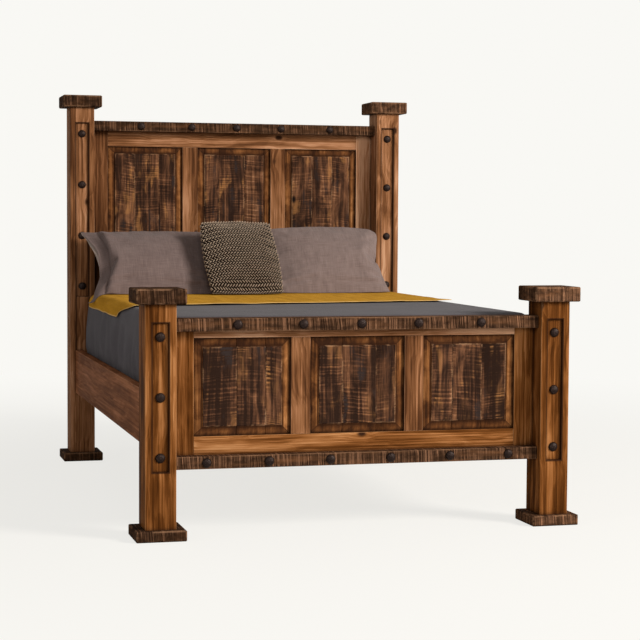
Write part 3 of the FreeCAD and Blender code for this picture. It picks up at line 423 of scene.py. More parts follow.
    # Painted shade in tight corners.
    painted_shade = wood.corner_shade(0.020, 0.22, 0.75)
    colour = wood.mix(wood.times(painted_shade, 0.84), colour, (0.014, 0.007, 0.004))
    lip = wood.plus(wood.size(inside), wood.scaled(streak, 0.006, -0.003))
    rub = wood.times(wood.level(lip, 0.0036, 0.0010), wood.level(patch, 0.44, 0.62))
    for joint in joints:
        off = wood.plus(wood.size(wood.less(x, joint)), wood.scaled(bite, -0.002, 0.001))
        seam = wood.times(wood.level(off, 0.0032, 0.0012), wood.level(inside, 0.0, 0.002))
        rub = wood.larger(rub, wood.times(seam, wood.level(smear, 0.44, 0.62)))
    rub = wood.times(wood.times(rub, front), wood.level(teeth, 0.20, 0.50))
    colour = wood.mix(wood.times(rub, 0.62), colour, (0.310, 0.175, 0.095))
    relief = wood.scaled(wood.times(marks, wood.mark("field")), 0.7, wood.times(streak, 0.4))
    return wood.surface(colour, wood.scaled(streak, 0.2, 0.44), relief, 0.0014, specular=0.002)


for number, node in enumerate("%s_panel_%s" % (board, where) for board in ("footboard", "headboard")
                              for where in ("left", "centre", "right")):
    low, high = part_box(node)
    source = nodes[node].data
    joints = sorted({round(face.center.x, 4) for face in source.polygons if abs(face.normal.x) > 0.99
                     and face.area > 0.001 and low[0] + 0.03 < face.center.x < high[0] - 0.03})
    shape = timber(node, arris=0.0016, joints=joints)
    field = shape.faces.layers.float.new("field")
    plank = shape.faces.layers.float.new("plank")
    front = shape.faces.layers.float.new("front")
    raised = []
    for face in shape.faces:
        middle = face.calc_center_bounds()
        face[field] = 1.0 if middle.y < low[1] + 0.0025 else 0.0
        face[front] = 1.0 if face.normal.y < 0.1 else 0.0
        face[plank] = ((number * 3 + sum(middle.x > joint for joint in joints)) * 0.37 + 0.2) % 1.0
        if middle.y < low[1] + 0.0003:
            raised.extend(vert.co for vert in face.verts)
    corners = [corner.xz for corner in extent(raised)]
    # The headboard's panels are made lighter, partly painted light that makes up for the lamp's light
    # falling off towards the headboard.
    light = 0.01 if node.startswith("foot") else 0.13
    wear = worn_panel("wear_" + node, 2.3 + number * 1.1, light, *corners, joints)
    piece(shape, "worn_" + node, "bed_frame", wear, "dark_panel_pine", node)


# Caps, feet and strips: offcuts left as they came from the saw, stained dark so that the saw's
# teeth show as tan scratches. Caps and feet sit on the posts' tenons, and clavos hold the strips.

def rough_sawn(name, seed, grain, light):
    """Dark stain over upright saw marks; light is how bright the marks and the worn wood are."""
    def lit(*colour):
        return tuple(part * light for part in colour)

    wood = Finish(name)
    z = wood.parts(wood.place)[2]
    spot = wood.moved(wood.place, seed, seed * 1.7, seed * 2.3)
    sway = wood.noise(spot, (9, 9, 14), 2.0)
    kerf = wood.scaled(sway, 0.010, wood.scaled(z, 0.05, wood.plus(wood.girth(), seed)))
    coarse = wood.lines(kerf, 88.0, 2.0, 0.6)
    fine = wood.lines(kerf, 215.0, 2.0, 0.6)
    bite = wood.level(wood.noise(spot, (20, 20, 34), 3.0, 0.6), 0.32, 0.64)
    scratch = wood.times(wood.level(fine, 0.48, 0.64), 0.62)
    scratch = wood.scaled(wood.level(coarse, 0.48, 0.62), 0.62, scratch)
    scratch = wood.times(scratch, wood.scaled(bite, 0.85, 0.15))
    stretch = (4, 34, 50) if grain == "x" else (16, 16, 34)
    blotch = wood.noise(spot, stretch, 3.0, 0.6)
    base = wood.ramp(blotch, (0.28, (0.011, 0.006, 0.004)), (0.50, lit(0.034, 0.017, 0.009)),
                     (0.78, lit(0.115, 0.050, 0.022)))
    colour = wood.mix(wood.times(scratch, 0.80), base, lit(0.262, 0.132, 0.074))
    rubbed = wood.times(wood.mark("worn"), wood.level(blotch, 0.40, 0.60))
    colour = wood.mix(wood.times(rubbed, 0.45), colour, (0.270, 0.150, 0.085))
    # Painted shade in tight corners.
    painted_shade = wood.corner_shade(0.025, 0.20, 0.75)
    colour = wood.mix(wood.times(painted_shade, 0.80), colour, (0.012, 0.007, 0.005))
    relief = wood.scaled(coarse, 0.7, wood.times(fine, 0.4))
    return wood.surface(colour, 0.66, relief, 0.0030, specular=0.002)


for number, node in enumerate(
        ["%s_%s_%s" % (board, kind, side) for board in ("footboard", "headboard")
         for kind in ("cap", "foot") for side in ("left", "right")]
        + ["footboard_top_strip", "footboard_bottom_strip", "headboard_top_strip"]):
    grain = "x" if node.endswith("strip") else "z"
    strip_light = 0.70 if node.startswith("head") else 0.82
    # Caps and feet on the left are made darker and those on the right lighter: painted shade and painted
    # light, for light that falls from the right.
    light = {"left": 0.50, "right": 1.03}.get(node.rsplit("_", 1)[-1], strip_light)
    sawn = rough_sawn("saw_" + node, 1.9 + number * 0.83, grain, light)
    piece(timber(node, arris=0.0026), "sawn_" + node, "bed_frame", sawn, "rough_sawn_pine", node)


# Clavos: big forged nails with blackened, hammered heads, driven through the strips into the
# frame's rails and down the recess of each post.

def forged_iron(name):
    """Blackened iron, dented by the hammer and rubbed on its high spots, with painted shade in its hollows
    and round its rim where it meets the wood.
    """
    iron = Finish(name)
    dents = iron.noise(iron.place, 210.0, 2.0, 0.5)
    scale = iron.noise(iron.place, 620.0, 3.0, 0.6)
    colour = iron.ramp(scale, (0.30, (0.006, 0.003, 0.002)), (0.70, (0.017, 0.008, 0.006)))
    rub = iron.level(dents, 0.52, 0.70)
    colour = iron.mix(iron.times(rub, 0.4), colour, (0.056, 0.030, 0.022))
    # Painted shade round the head's rim, where it meets the wood.
    rim_shade = iron.corner_shade(0.012, 0.15, 0.55)
    colour = iron.mix(iron.times(rim_shade, 0.85), colour, (0.003, 0.002, 0.0015))
    relief = iron.scaled(scale, 0.25, dents)
    return iron.surface(colour, iron.scaled(scale, 0.25, 0.30), relief, 0.0016, specular=0.14, metallic=0.35)


def nail_boxes(shape):
    """The box round each nail of a group, from left to right and each column from the bottom up."""
    left = set(shape.faces)
    found = []
    while left:
        group = [left.pop()]
        for face in group:
            near = {other for edge in face.edges for other in edge.link_faces} & left
            left -= near
            group.extend(near)
        found.append(group)
    corners = [extent([vert.co for face in group for vert in face.verts]) for group in found]
    return sorted(corners, key=lambda ends: (round(ends[0].x, 4), ends[0].z))


def clavo_heads(board):
    """Finds each forged head in the CAD group and hammers a fuller one in its place."""
    source = bmesh.new()
    source.from_mesh(nodes[board + "_clavos"].data)
    bmesh.ops.remove_doubles(source, verts=source.verts, dist=1e-5)
    shape = bmesh.new()
    for number, (low, high) in enumerate(nail_boxes(source)):
        radius = (high.x - low.x) / 2
        crown = low.y
        rise = radius * 0.60
        middle = Vector(((low.x + high.x) / 2, crown, (low.z + high.z) / 2))
        head = bmesh.ops.create_uvsphere(shape, u_segments=24, v_segments=14, radius=radius)["verts"]
        for vert in head:
            part = vert.co / radius
            dent = noise.noise(Vector((part.x, part.y, part.z)) * 2.1 + Vector((number * 3.7, 0, 0)))
            swell = 1.0 + 0.045 * dent
            out = max(part.z, 0.0) ** 0.9
            vert.co = Vector((part.x * radius * swell, -out * rise * swell, part.y * radius * swell))
            vert.co += Vector((middle.x, crown + rise, middle.z))
        shank = bmesh.ops.create_cube(shape, size=1.0)["verts"]
        depth = high.y - crown - rise * 0.5
        for vert in shank:
            vert.co = Vector((vert.co.x * 0.006, vert.co.y * depth, vert.co.z * 0.006))
            vert.co += Vector((middle.x, high.y - depth / 2, middle.z))
    source.free()
    bmesh.ops.recalc_face_normals(shape, faces=shape.faces)
    return shape


clavo_iron = forged_iron("blackened_iron")
for board in ("footboard", "headboard"):
    node = board + "_clavos"
    piece(clavo_heads(board), board + "_forged_clavos", "bed_frame", clavo_iron, "forged_iron", node)


# Side rails: planed pine boards with a redder, flatter stain. Steel hooks let into both ends drop
# into the posts' sockets.

RUSSET = ((0.0, (0.110, 0.040, 0.016)), (0.36, (0.210, 0.082, 0.036)), (0.66, (0.310, 0.130, 0.062)),
          (1.0, (0.440, 0.215, 0.118)))
for number, node in enumerate(("side_rail_left", "side_rail_right")):
    stain = stained_pine("stain_" + node, "y", 41.7 + number * 2.3, RUSSET)
    piece(timber(node, arris=0.002), "stained_" + node, "bed_frame", stain, "rail_stain", node)


# Deck: bare pine ledgers screwed along the rails' inner faces, and five slats screwed down across
# them. The joints' plates and all the screws are zinc-plated steel.

BARE = ((0.0, (0.260, 0.150, 0.070)), (0.36, (0.430, 0.270, 0.130)), (0.66, (0.560, 0.375, 0.200)),
        (1.0, (0.680, 0.490, 0.290)))
for number, node in enumerate(("ledger_left", "ledger_right", "slat_1", "slat_2", "slat_3", "slat_4",
                               "slat_5")):
    grain = "y" if node.startswith("ledger") else "x"
    planed = stained_pine("bare_" + node, grain, 57.1 + number * 1.3, BARE, shade=0.1, gloss=0.6)
    piece(timber(node, arris=0.002), "planed_" + node, "bed_frame", planed, "plain_pine", node)

zinc = Finish("zinc_plate")
speckle = zinc.noise(zinc.place, 900.0, 2.0, 0.6)
bright = zinc.ramp(speckle, (0.30, (0.42, 0.42, 0.41)), (0.70, (0.62, 0.62, 0.60)))
zinc.surface(bright, zinc.scaled(speckle, 0.2, 0.28), speckle, 0.0002, metallic=1.0)
for node in ("rail_hook_plates", "rail_socket_plates", "plate_screws", "ledger_screws", "slat_screws"):
    for place in nodes[node].material_slots:
        place.material = zinc.material


# Box spring: a timber frame of coils in striped ticking, with a corded seam round its top and
# bottom. It stands loose on the slats.

def outline(half_x, half_y, corner):
    """Points round an oblong with round corners."""
    found = []
    for turn, (east, north) in enumerate(((1, 1), (-1, 1), (-1, -1), (1, -1))):
        middle = Vector((east * (half_x - corner), north * (half_y - corner), 0.0))
        for part in range(11):
            angle = (turn + part / 10) * math.pi / 2
            way = Vector((math.cos(angle), math.sin(angle), 0.0))
            found.append(middle + way * corner)
    return found


def upholstered(low, high, corner, edge, cord):
    """A squared pad with round corners, tufts in its top and bottom and a corded seam round each rim."""
    tuft, tuft_half, tuft_depth = 0.1, 0.05, 0.003
    shape = bmesh.new()
    bmesh.ops.create_cube(shape, size=1.0)
    for vert in shape.verts:
        vert.co = Vector(low[axis] + (vert.co[axis] + 0.5) * (high[axis] - low[axis]) for axis in range(3))
    upright = [line for line in shape.edges if abs(line.verts[0].co.z - line.verts[1].co.z) > 0.01]
    rounded(shape, upright, corner, segments=7)
    rims = [line for line in shape.edges if line.calc_face_angle(0.0) > math.radians(60)]
    rounded(shape, rims, edge, segments=4)
    for axis in (0, 1):
        way = Vector((axis == 0, axis == 1, 0))
        for step in range(int(low[axis] / tuft_half) + 1, int(high[axis] / tuft_half)):
            bmesh.ops.bisect_plane(shape, geom=whole(shape), plane_co=way * (step * tuft_half), plane_no=way)
    for vert in shape.verts:
        if vert.co.z > high[2] - 1e-4 or vert.co.z < low[2] + 1e-4:
            plump = (math.sin(vert.co.x * math.pi / tuft) * math.sin(vert.co.y * math.pi / tuft)) ** 2
            vert.co.z += (1 - plump) * tuft_depth * (1 if vert.co.z < (low[2] + high[2]) / 2 else -1)
    for height in (low[2] + edge * 0.75, high[2] - edge * 0.75):
        curve = bpy.data.curves.new("seam_cord", "CURVE")
        curve.dimensions = "3D"
        curve.bevel_depth = cord
        curve.bevel_resolution = 2
        points = outline(high[0] - edge * 0.2, high[1] - edge * 0.2, corner)
        run = curve.splines.new("POLY")
        run.points.add(len(points) - 1)
        for knot, spot in zip(run.points, points):
            knot.co = (spot.x, spot.y, height, 1.0)
        run.use_cyclic_u = True
        holder = bpy.data.objects.new("seam_cord", curve)
        bpy.context.scene.collection.objects.link(holder)
        bpy.context.view_layer.update()
        tube = bpy.data.meshes.new_from_object(holder.evaluated_get(bpy.context.evaluated_depsgraph_get()))
        shape.from_mesh(tube)
        bpy.data.objects.remove(holder)
        bpy.data.curves.remove(curve)
        bpy.data.meshes.remove(tube)
    bmesh.ops.recalc_face_normals(shape, faces=shape.faces)
    return shape


def woven(cloth, vector, pitch):
    """The over-and-under of a plain weave, from nought to one."""
    u, v, w = cloth.parts(cloth.stretched(vector, (math.tau / pitch,) * 3))
    warp = cloth.maths(cloth.plus(u, w), "SINE")
    weft = cloth.maths(cloth.plus(v, w), "SINE")
    return cloth.scaled(cloth.times(warp, weft), 0.5, 0.5)


def ticking(name, ground, stripe):
    """A pale cotton with a broad stripe and a fine line beside it, running up the sides."""
    cloth = Finish(name)
    repeat = 0.042
    beat = cloth.maths(cloth.times(cloth.girth(), 1 / repeat), "FRACT")
    band = cloth.times(cloth.level(beat, 0.42, 0.46), cloth.level(beat, 0.62, 0.58))
    thread = cloth.times(cloth.level(beat, 0.72, 0.74), cloth.level(beat, 0.80, 0.78))
    lines = cloth.larger(band, thread)
    slub = cloth.noise(cloth.place, 260.0, 3.0, 0.6)
    plain = cloth.mix(slub, ground, tuple(part * 1.25 for part in ground))
    colour = cloth.mix(cloth.times(lines, 0.85), plain, stripe)
    relief = cloth.scaled(woven(cloth, cloth.place, 0.0024), 0.6, slub)
    return cloth.surface(colour, cloth.scaled(slub, 0.2, 0.75), relief, 0.0006, sheen=0.2)


low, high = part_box("box_spring")
gap_under_mattress = 0.0008
high = (high[0], high[1], high[2] - gap_under_mattress)
shape = upholstered(low, high, corner=0.082, edge=0.012, cord=0.0034)
striped = ticking("box_spring_ticking", ground=(0.46, 0.42, 0.35), stripe=(0.12, 0.15, 0.20))
item = piece(shape, "ticking_box_spring", "box_spring", striped, "ticking", "box_spring")


# Mattress: a sprung pad in quilted pale ticking with a corded seam round its top and bottom,
# made up under the sheet.

low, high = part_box("mattress")
shape = upholstered(low, high, corner=0.088, edge=0.04, cord=0.0034)
pale = ticking("mattress_ticking", ground=(0.52, 0.50, 0.46), stripe=(0.40, 0.37, 0.31))
item = piece(shape, "ticking_mattress", "mattress", pale, "ticking", "mattress")


# Bed sheet: slate-grey cotton drawn over the mattress, its sides hanging in soft folds that are
# tucked inside the rails.

def plain_cotton(name, shade, light, pitch=0.0012):
    """Plain weave, a little slubbed and faded, from shade to light."""
    cloth = Finish(name)
    slub = cloth.noise(cloth.place, (420, 420, 90), 3.0, 0.6)
    fade = cloth.noise(cloth.place, 6.0, 3.0, 0.5)
    tone = cloth.scaled(slub, 0.6, cloth.scaled(fade, 0.8, -0.2))
    relief = cloth.scaled(woven(cloth, cloth.place, pitch), 0.5, slub)
    return cloth.surface(cloth.mix(tone, shade, light), 0.85, relief, 0.0004, specular=0.02, sheen=0.06)


def soft_cloth(item, thickness=0.0, offset=-1.0):
    """Gives a cloth its thickness and rounds off its facets."""
    item.data.shade_smooth()
    if thickness:
        thick = item.modifiers.new("cloth", "SOLIDIFY")
        thick.thickness = thickness
        thick.offset = offset
    smooth = item.modifiers.new("soften", "SUBSURF")
    smooth.levels = smooth.render_levels = 1


clear = 0.003
half_x, half_y = (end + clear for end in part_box("mattress")[1][:2])
roll, corner, hem = 0.044, 0.07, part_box("bed_sheet")[0][2]
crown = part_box("bed_sheet")[1][2] - 0.0015
rail_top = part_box("side_rail_left")[1][2]
shape = bmesh.new()
bmesh.ops.create_grid(shape, x_segments=66, y_segments=88, size=0.5)
reach_x, reach_y, bend = half_x - roll, half_y - roll, corner - roll
base = shape.verts.layers.float_vector.new("base")
out = shape.verts.layers.float_vector.new("out")
for vert in shape.verts:
    x, y = vert.co.x * 2 * reach_x, vert.co.y * 2 * reach_y
    over_x, over_y = abs(x) - (reach_x - bend), abs(y) - (reach_y - bend)
    way = Vector((0.0, math.copysign(1.0, y), 0.0))
    if abs(x) / reach_x > abs(y) / reach_y:
        way = Vector((math.copysign(1.0, x), 0.0, 0.0))
    if over_x > 0 and over_y > 0:
        d, e = over_x / bend, over_y / bend
        d, e = d * math.sqrt(1 - e * e / 2), e * math.sqrt(1 - d * d / 2)
        x = math.copysign(reach_x - bend + d * bend, x)
        y = math.copysign(reach_y - bend + e * bend, y)
        way = Vector((math.copysign(d, x), math.copysign(e, y), 0.0)).normalized()
    rumple = noise.noise(Vector((x * 5.0, y * 3.0, 0.4)))
    rumple += 0.4 * noise.noise(Vector((x * 13.0, y * 9.0, 1.4)))
    vert.co = Vector((x, y, crown - 0.0012 + 0.0012 * rumple))
    vert[base] = (x, y, 0.0)
    vert[out] = way
open_room, rail_room, board_room, post_room = 0.0275, 0.0085, 0.0165, 0.0055
round_rows, hanging_rows = 5, 14
angles = [turn * math.pi / 2 / round_rows for turn in range(1, round_rows + 1)]
rows = [(roll * math.sin(angle), crown - roll * (1 - math.cos(angle))) for angle in angles]
hang = crown - roll - hem
rows += [(roll, crown - roll - hang * step / hanging_rows) for step in range(1, hanging_rows + 1)]
rim = [line for line in shape.edges if line.is_boundary]
for stand, height in rows:
    made = bmesh.ops.extrude_edge_only(shape, edges=rim)["geom"]
    rim = [line for line in made if isinstance(line, bmesh.types.BMEdge) and line.is_boundary]
    fall = max(0.0, (crown - roll - height) / hang)
    for vert in (part for part in made if isinstance(part, bmesh.types.BMVert)):
        spot, way = Vector(vert[base]), Vector(vert[out])
        wave = noise.noise(Vector((spot.x * 8.5, spot.y * 8.5, fall * 0.9)))
        wave += 0.45 * noise.noise(Vector((spot.x * 19.0, spot.y * 19.0, 3.0 + fall * 1.3)))
        flare = 0.0015 + (0.010 + 0.032 * wave) * min(1.0, fall * 2.2)
        if abs(way.x) > 0.9:
            room = open_room if height > rail_top + 0.02 else rail_room
        else:
            room = board_room if abs(spot.x) < 0.62 else post_room
        vert.co = spot + way * (stand + max(-0.0005, min(flare, room)))
        vert.co.z = height
slate = plain_cotton("slate_cotton", shade=(0.056, 0.052, 0.059), light=(0.105, 0.098, 0.110))
item = piece(shape, "slate_bed_sheet", "mattress", slate, "sheet_cloth", "bed_sheet")
soft_cloth(item, thickness=0.0012)


# Throw: a mustard cotton blanket in a ribbed weave, laid across the bed a little askew so that
# its near corner drops over the left edge.

def ribbed_cotton(name):
    """Mustard cotton with close ribs across it and a paler thread along its border."""
    rib, knot = 0.0085, 0.006
    cloth = Finish(name)
    u, v = cloth.parts(cloth.flat)[:2]
    sway = cloth.noise(cloth.flat, (7, 7, 1), 2.0)
    ribs = cloth.maths(cloth.times(cloth.scaled(sway, 0.006, v), math.tau / rib), "SINE")
    knots = cloth.maths(cloth.times(u, math.tau / knot), "SINE")
    weave = cloth.scaled(cloth.scaled(knots, 0.35, ribs), 0.37, 0.5)
    slub = cloth.noise(cloth.flat, (130, 110, 1), 3.0, 0.7)
    fade = cloth.noise(cloth.flat, (26, 3, 1), 3.0, 0.6)
    tone = cloth.plus(slub, cloth.scaled(fade, 1.1, -0.91))
    tone = cloth.scaled(weave, 0.45, tone)
    colour = cloth.ramp(tone, (0.0, (0.290, 0.135, 0.009)), (0.5, (0.500, 0.246, 0.021)),
                        (1.0, (0.660, 0.356, 0.046)))
    selvedge = cloth.level(cloth.mark("border"), 0.0065, 0.0035)
    colour = cloth.mix(cloth.times(selvedge, 0.75), colour, (0.720, 0.480, 0.200))
    cloth.give(cloth.shader.inputs["Sheen Tint"], (1.0, 0.75, 0.25, 1.0))
    relief = cloth.scaled(slub, 0.3, weave)
    return cloth.surface(colour, 0.9, relief, 0.0012, specular=0.01, sheen=0.05)


def along_line(points, where):
    """The height of a line through points, eased from each to the next."""
    for (x0, y0), (x1, y1) in zip(points, points[1:]):
        if where <= x1:
            share = (where - x0) / (x1 - x0)
            return y0 + (y1 - y0) * (3 * share ** 2 - 2 * share ** 3)
    return points[-1][1]


shape = bmesh.new()
bmesh.ops.create_grid(shape, x_segments=120, y_segments=96, size=0.5)
flat_map = shape.loops.layers.uv.new("flat")
border = shape.verts.layers.float.new("border")
bed_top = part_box("bed_sheet")[1][2]
right_end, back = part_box("throw_blanket")[1][:2]
front = ((-0.840, 0.046), (-0.792, -0.080), (-0.752, -0.285), (-0.719, -0.300), (-0.495, -0.226),
         (-0.273, -0.208), (0.015, -0.146), (0.333, -0.104), (0.632, -0.064), (0.760, -0.062))
cut_wide, cut_deep = 1.60, 1.05
stand, bend = half_x + 0.0045, 0.046
arc = bend * math.pi / 2
span = stand - bend + right_end
flats = {}
for vert in shape.verts:
    u, v = vert.co.x + 0.5, vert.co.y + 0.5
    vert[border] = min(u * cut_wide, (1 - u) * cut_wide, v * cut_deep, (1 - v) * cut_deep)
    drop = 0.018 + 0.004 * noise.noise(Vector((v * 4.0, 0.0, 2.0)))
    run = u * (drop + arc + span) - drop - arc
    near = along_line(front, run - stand + bend) + 0.004 * noise.noise(Vector((run * 9.0, 0.0, 4.0)))
    y = near + (back - near) * v
    if run >= 0:
        x, z = run - (stand - bend), 0.0
    elif run > -arc:
        turn = -run / bend
        x, z = -(stand - bend) - bend * math.sin(turn), -bend * (1 - math.cos(turn))
    else:
        x, z = -stand, -bend + run + arc
    rumple = max(0.0, noise.noise(Vector((x * 3.4 + y * 1.5, y * 5.2, 7.0)))) * 0.006
    rumple += max(0.0, noise.noise(Vector((x * 9.0, y * 7.0 + x * 3.0, 2.0)))) * 0.0025
    rumple *= max(0.0, min(1.0, (0.56 - y) / 0.12))
    flare = 0.004 * (1 - v) ** 2 if run < -arc * 0.5 else 0.0
    vert.co = Vector((x - flare * 1.5, y - flare, bed_top + 0.0022 + z + rumple))
    flats[vert] = (run, y)
for face in shape.faces:
    for loop in face.loops:
        loop[flat_map].uv = flats[loop.vert]
mustard = ribbed_cotton("mustard_cotton")
item = piece(shape, "mustard_throw", "mattress", mustard, "throw_cloth", "throw_blanket")
soft_cloth(item, thickness=0.0030, offset=1.0)


# Pillows: two feather pillows in mauve-taupe linen cases, sewn from two layers, leaning on the
# headboard. The left case has an open hem past the pillow, and its end is creased flat.

def sewn_layers(full, height, columns, rows, seam, belly, seed, round_corner):
    """Two flat layers of cloth sewn together round the edge and down the seam's column. The second
    list says where each point lies on the cut."""
    shape = bmesh.new()
    flat_map = shape.loops.layers.uv.new("flat")
    cut = shape.verts.layers.float_vector.new("cut")
    for side in (1.0, -1.0):
        made = bmesh.ops.create_grid(shape, x_segments=columns, y_segments=rows, size=0.5)["verts"]
        for vert in made:
            column = round((vert.co.x + 0.5) * columns)
            row = round((vert.co.y + 0.5) * rows)
            sewn = row in (0, rows) or column == columns or column == seam
            puff = noise.noise(Vector((column * 0.4, row * 0.4, seed + side)))
            gap = 0.0 if sewn else 0.006 + 0.002 * puff
            u, v = vert.co.x, vert.co.y
            vert[cut] = (u * full, v * height, side * gap)
            vert.co = Vector((u * full * (1 + belly[u > 0] * (1 - 4 * v * v)),
                              v * height * (1 + belly[2] * (1 - 4 * u * u)), side * gap))
            over = [(full / 2 - round_corner - u * full), (height / 2 - round_corner - v * height)]
            if round_corner and max(over) < 0:
                d, e = (-part / round_corner for part in over)
                vert.co.x -= d * (1 - math.sqrt(1 - e * e / 2)) * round_corner
                vert.co.y -= e * (1 - math.sqrt(1 - d * d / 2)) * round_corner
        faces = {face for vert in made for face in vert.link_faces}
        if side < 0:
            bmesh.ops.reverse_faces(shape, faces=list(faces))
        for face in faces:
            for loop in face.loops:
                loop[flat_map].uv = (loop.vert.co.x, loop.vert.co.y)
    bmesh.ops.remove_doubles(shape, verts=shape.verts, dist=1e-5)
    mesh = bpy.data.meshes.new("cover")
    flat = [Vector(vert[cut]) for vert in shape.verts]
    shape.to_mesh(mesh)
    shape.free()
    return mesh, flat


def blown_up(mesh, inside, stiffness):
    """Where a sewn cover's points come to when a filling presses on the points inside its seams."""
    frames, pressure = 24, 3.2
    item = bpy.data.objects.new("cover", mesh)
    bpy.context.scene.collection.objects.link(item)
    item.vertex_groups.new(name="filled").add(inside, 1.0, "REPLACE")
    cloth = item.modifiers.new("filling", "CLOTH")
    cloth.settings.quality = 6
    cloth.settings.mass = 0.2
    cloth.settings.tension_stiffness = cloth.settings.compression_stiffness = 30.0
    cloth.settings.shear_stiffness = 12.0
    cloth.settings.bending_stiffness = stiffness
    cloth.settings.use_pressure = True
    cloth.settings.uniform_pressure_force = pressure
    cloth.settings.vertex_group_pressure = "filled"
    cloth.settings.effector_weights.gravity = 0.0
    cloth.collision_settings.use_collision = False
    cloth.point_cache.frame_start = 1
    cloth.point_cache.frame_end = frames
    for step in range(1, frames + 1):
        bpy.context.scene.frame_set(step)
    blown = item.evaluated_get(bpy.context.evaluated_depsgraph_get()).to_mesh()
    grown = [vert.co.copy() for vert in blown.vertices]
    bpy.data.objects.remove(item)
    bpy.context.scene.frame_set(1)
    return grown


def filled_cover(width, height, thick, cell, stiffness, belly, hem=0.0, seed=0.0, round_corner=0.0):
    """Two flat layers of cloth sewn round the edge and blown up until they hold their filling.
    The belly is how much fuller the left, right and long sides are cut than the straight line.
    An open hem stands out past the left seam, and the upper right corner can be cut round."""
    full = width + hem
    columns, rows = round(full / cell), round(height / cell)
    seam = round(hem / cell)
    hem = full * seam / columns
    width = full - hem
    mesh, flat = sewn_layers(full, height, columns, rows, seam, belly, seed, round_corner)
    inside = [spot for spot, co in enumerate(flat) if co.x > hem - full / 2 - 1e-4]
    grown = blown_up(mesh, inside, stiffness)
    low, high = extent([co for co, place in zip(grown, flat) if place.x > hem - full / 2 - 1e-4])
    seam_line = {}
    for vert, co, place in zip(mesh.vertices, grown, flat):
        vert.co = Vector((((co.x - low.x) / (high.x - low.x) - 0.5) * width + hem / 2,
                          ((co.y - low.y) / (high.y - low.y) - 0.5) * height,
                          ((co.z - low.z) / (high.z - low.z) - 0.5) * thick))
        if abs(place.x - hem + full / 2) < 1e-4:
            seam_line[round(place.y, 4)] = vert.co.copy()
    for vert, place in zip(mesh.vertices, flat):
        out = hem - full / 2 - place.x
        if out > 1e-4:
            v = place.y / height * 2
            reach = out * (0.62 + 0.38 * v * v + 0.12 * max(0.0, -v) ** 4)
            if place.z < 0:
                reach += 0.012 * max(0.0, 1 - ((v - 0.35) / 0.4) ** 2) * out / hem
            sway = (0.010 * math.sin(v * 4.2 + 0.6) + 0.9 * place.z) * out / hem
            vert.co = seam_line[round(place.y, 4)] + Vector((-reach, reach * 0.16 * v, sway))
        if hem and place.z >= 0:
            vert.co.z += 0.032 * math.exp(-(out / 0.045) ** 2) * (1 - (place.y / height * 2) ** 4)
    return mesh, flat


def leant(points, node, lean, turn=0.0, sink=0.014, loose=-1.0):
    """Leans a filled cover back into the place of its CAD solid, flat where it meets the bed.
    Cloth to the left of loose holds no filling and stands on its edge."""
    low, high = (Vector(end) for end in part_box(node))
    settled, soft = low.z + 0.008, 0.010
    tall = max(point.y for point in points)
    tilt = Matrix.Rotation(math.radians(turn), 3, "Z") @ Matrix.Rotation(math.radians(lean), 3, "X")
    spots = [tilt @ spot for spot in points]
    least, most = extent(spots)
    shift = (low + high) / 2 - (least + most) / 2
    shift.z = low.z - sink - least.z
    placed = [spot + shift for spot in spots]
    for spot, point in zip(placed, points):
        rest = min(1.0, max(0.0, (-0.70 - point.y / tall) / 0.25)) if point.x > loose else 0.0
        spot.z += (min(spot.z, settled) - spot.z) * rest ** 2
        below = low.z + soft - spot.z
        if below > 0:
            spot.z = low.z + soft * math.exp(-below / soft)
    return placed


def linen(name, shade, light):
    """Uneven warp and weft threads that cross on the cloth's own map."""
    cloth = Finish(name)
    warp = cloth.noise(cloth.flat, (300, 12, 1), 3.0, 0.65)
    weft = cloth.noise(cloth.flat, (12, 300, 1), 3.0, 0.65)
    threads = cloth.plus(warp, weft)
    fade = cloth.noise(cloth.place, 9.0, 3.0, 0.5)
    tone = cloth.scaled(threads, 1.3, cloth.scaled(fade, 0.6, -1.1))
    relief = cloth.scaled(woven(cloth, cloth.flat, 0.0022), 0.4, threads)
    return cloth.surface(cloth.mix(tone, shade, light), 0.9, relief, 0.0008, specular=0.02, sheen=0.08)


def creased(points, flat, amount, seed):
    """Soft creases that run in from the seams and die away on the crown. Each is a groove with a
    ridge above it, from a start at the seam to its end."""
    creases = (((0.29, -0.160), (-0.04, -0.130), 3.4), ((0.29, -0.120), (0.10, -0.075), 2.4),
               ((-0.25, -0.150), (-0.06, -0.110), 3.2), ((0.28, 0.150), (0.17, 0.070), 2.0),
               ((-0.25, 0.160), (-0.15, 0.080), 1.8))
    ridge, spread = 0.015, 0.010
    for spot, where in zip(points, flat):
        way = math.copysign(1.0, spot.z)
        ripple = noise.noise(Vector((where.x * 11.0, where.y * 17.0, seed)))
        ripple += 0.5 * noise.noise(Vector((where.x * 26.0, where.y * 31.0, seed + 5.0)))
        fold = 0.0
        for start, end, depth in creases:
            run = Vector(end) - Vector(start)
            past = Vector((where.x, where.y)) - Vector(start)
            share = min(1.0, max(0.0, past.dot(run) / run.length_squared))
            above = 1 if (run.cross(past) > 0) == (run.x > 0) else -1
            aside = (past - run * share).length * above + 0.006 * ripple
            fade = depth * (1 - share) ** 0.7
            fold += fade * 0.8 * math.exp(-((aside - ridge) / spread) ** 2)
            fold -= fade * math.exp(-(aside / spread) ** 2)
        spot.z += way * amount * (ripple + fold) * min(1.0, abs(spot.z) / 0.02)


case_lining = linen("taupe_linen_lining", (0.330, 0.260, 0.225), (0.520, 0.430, 0.385))
flat_part, round_part = stand - bend, bend + 0.005
height, droop = 0.43, 0.040
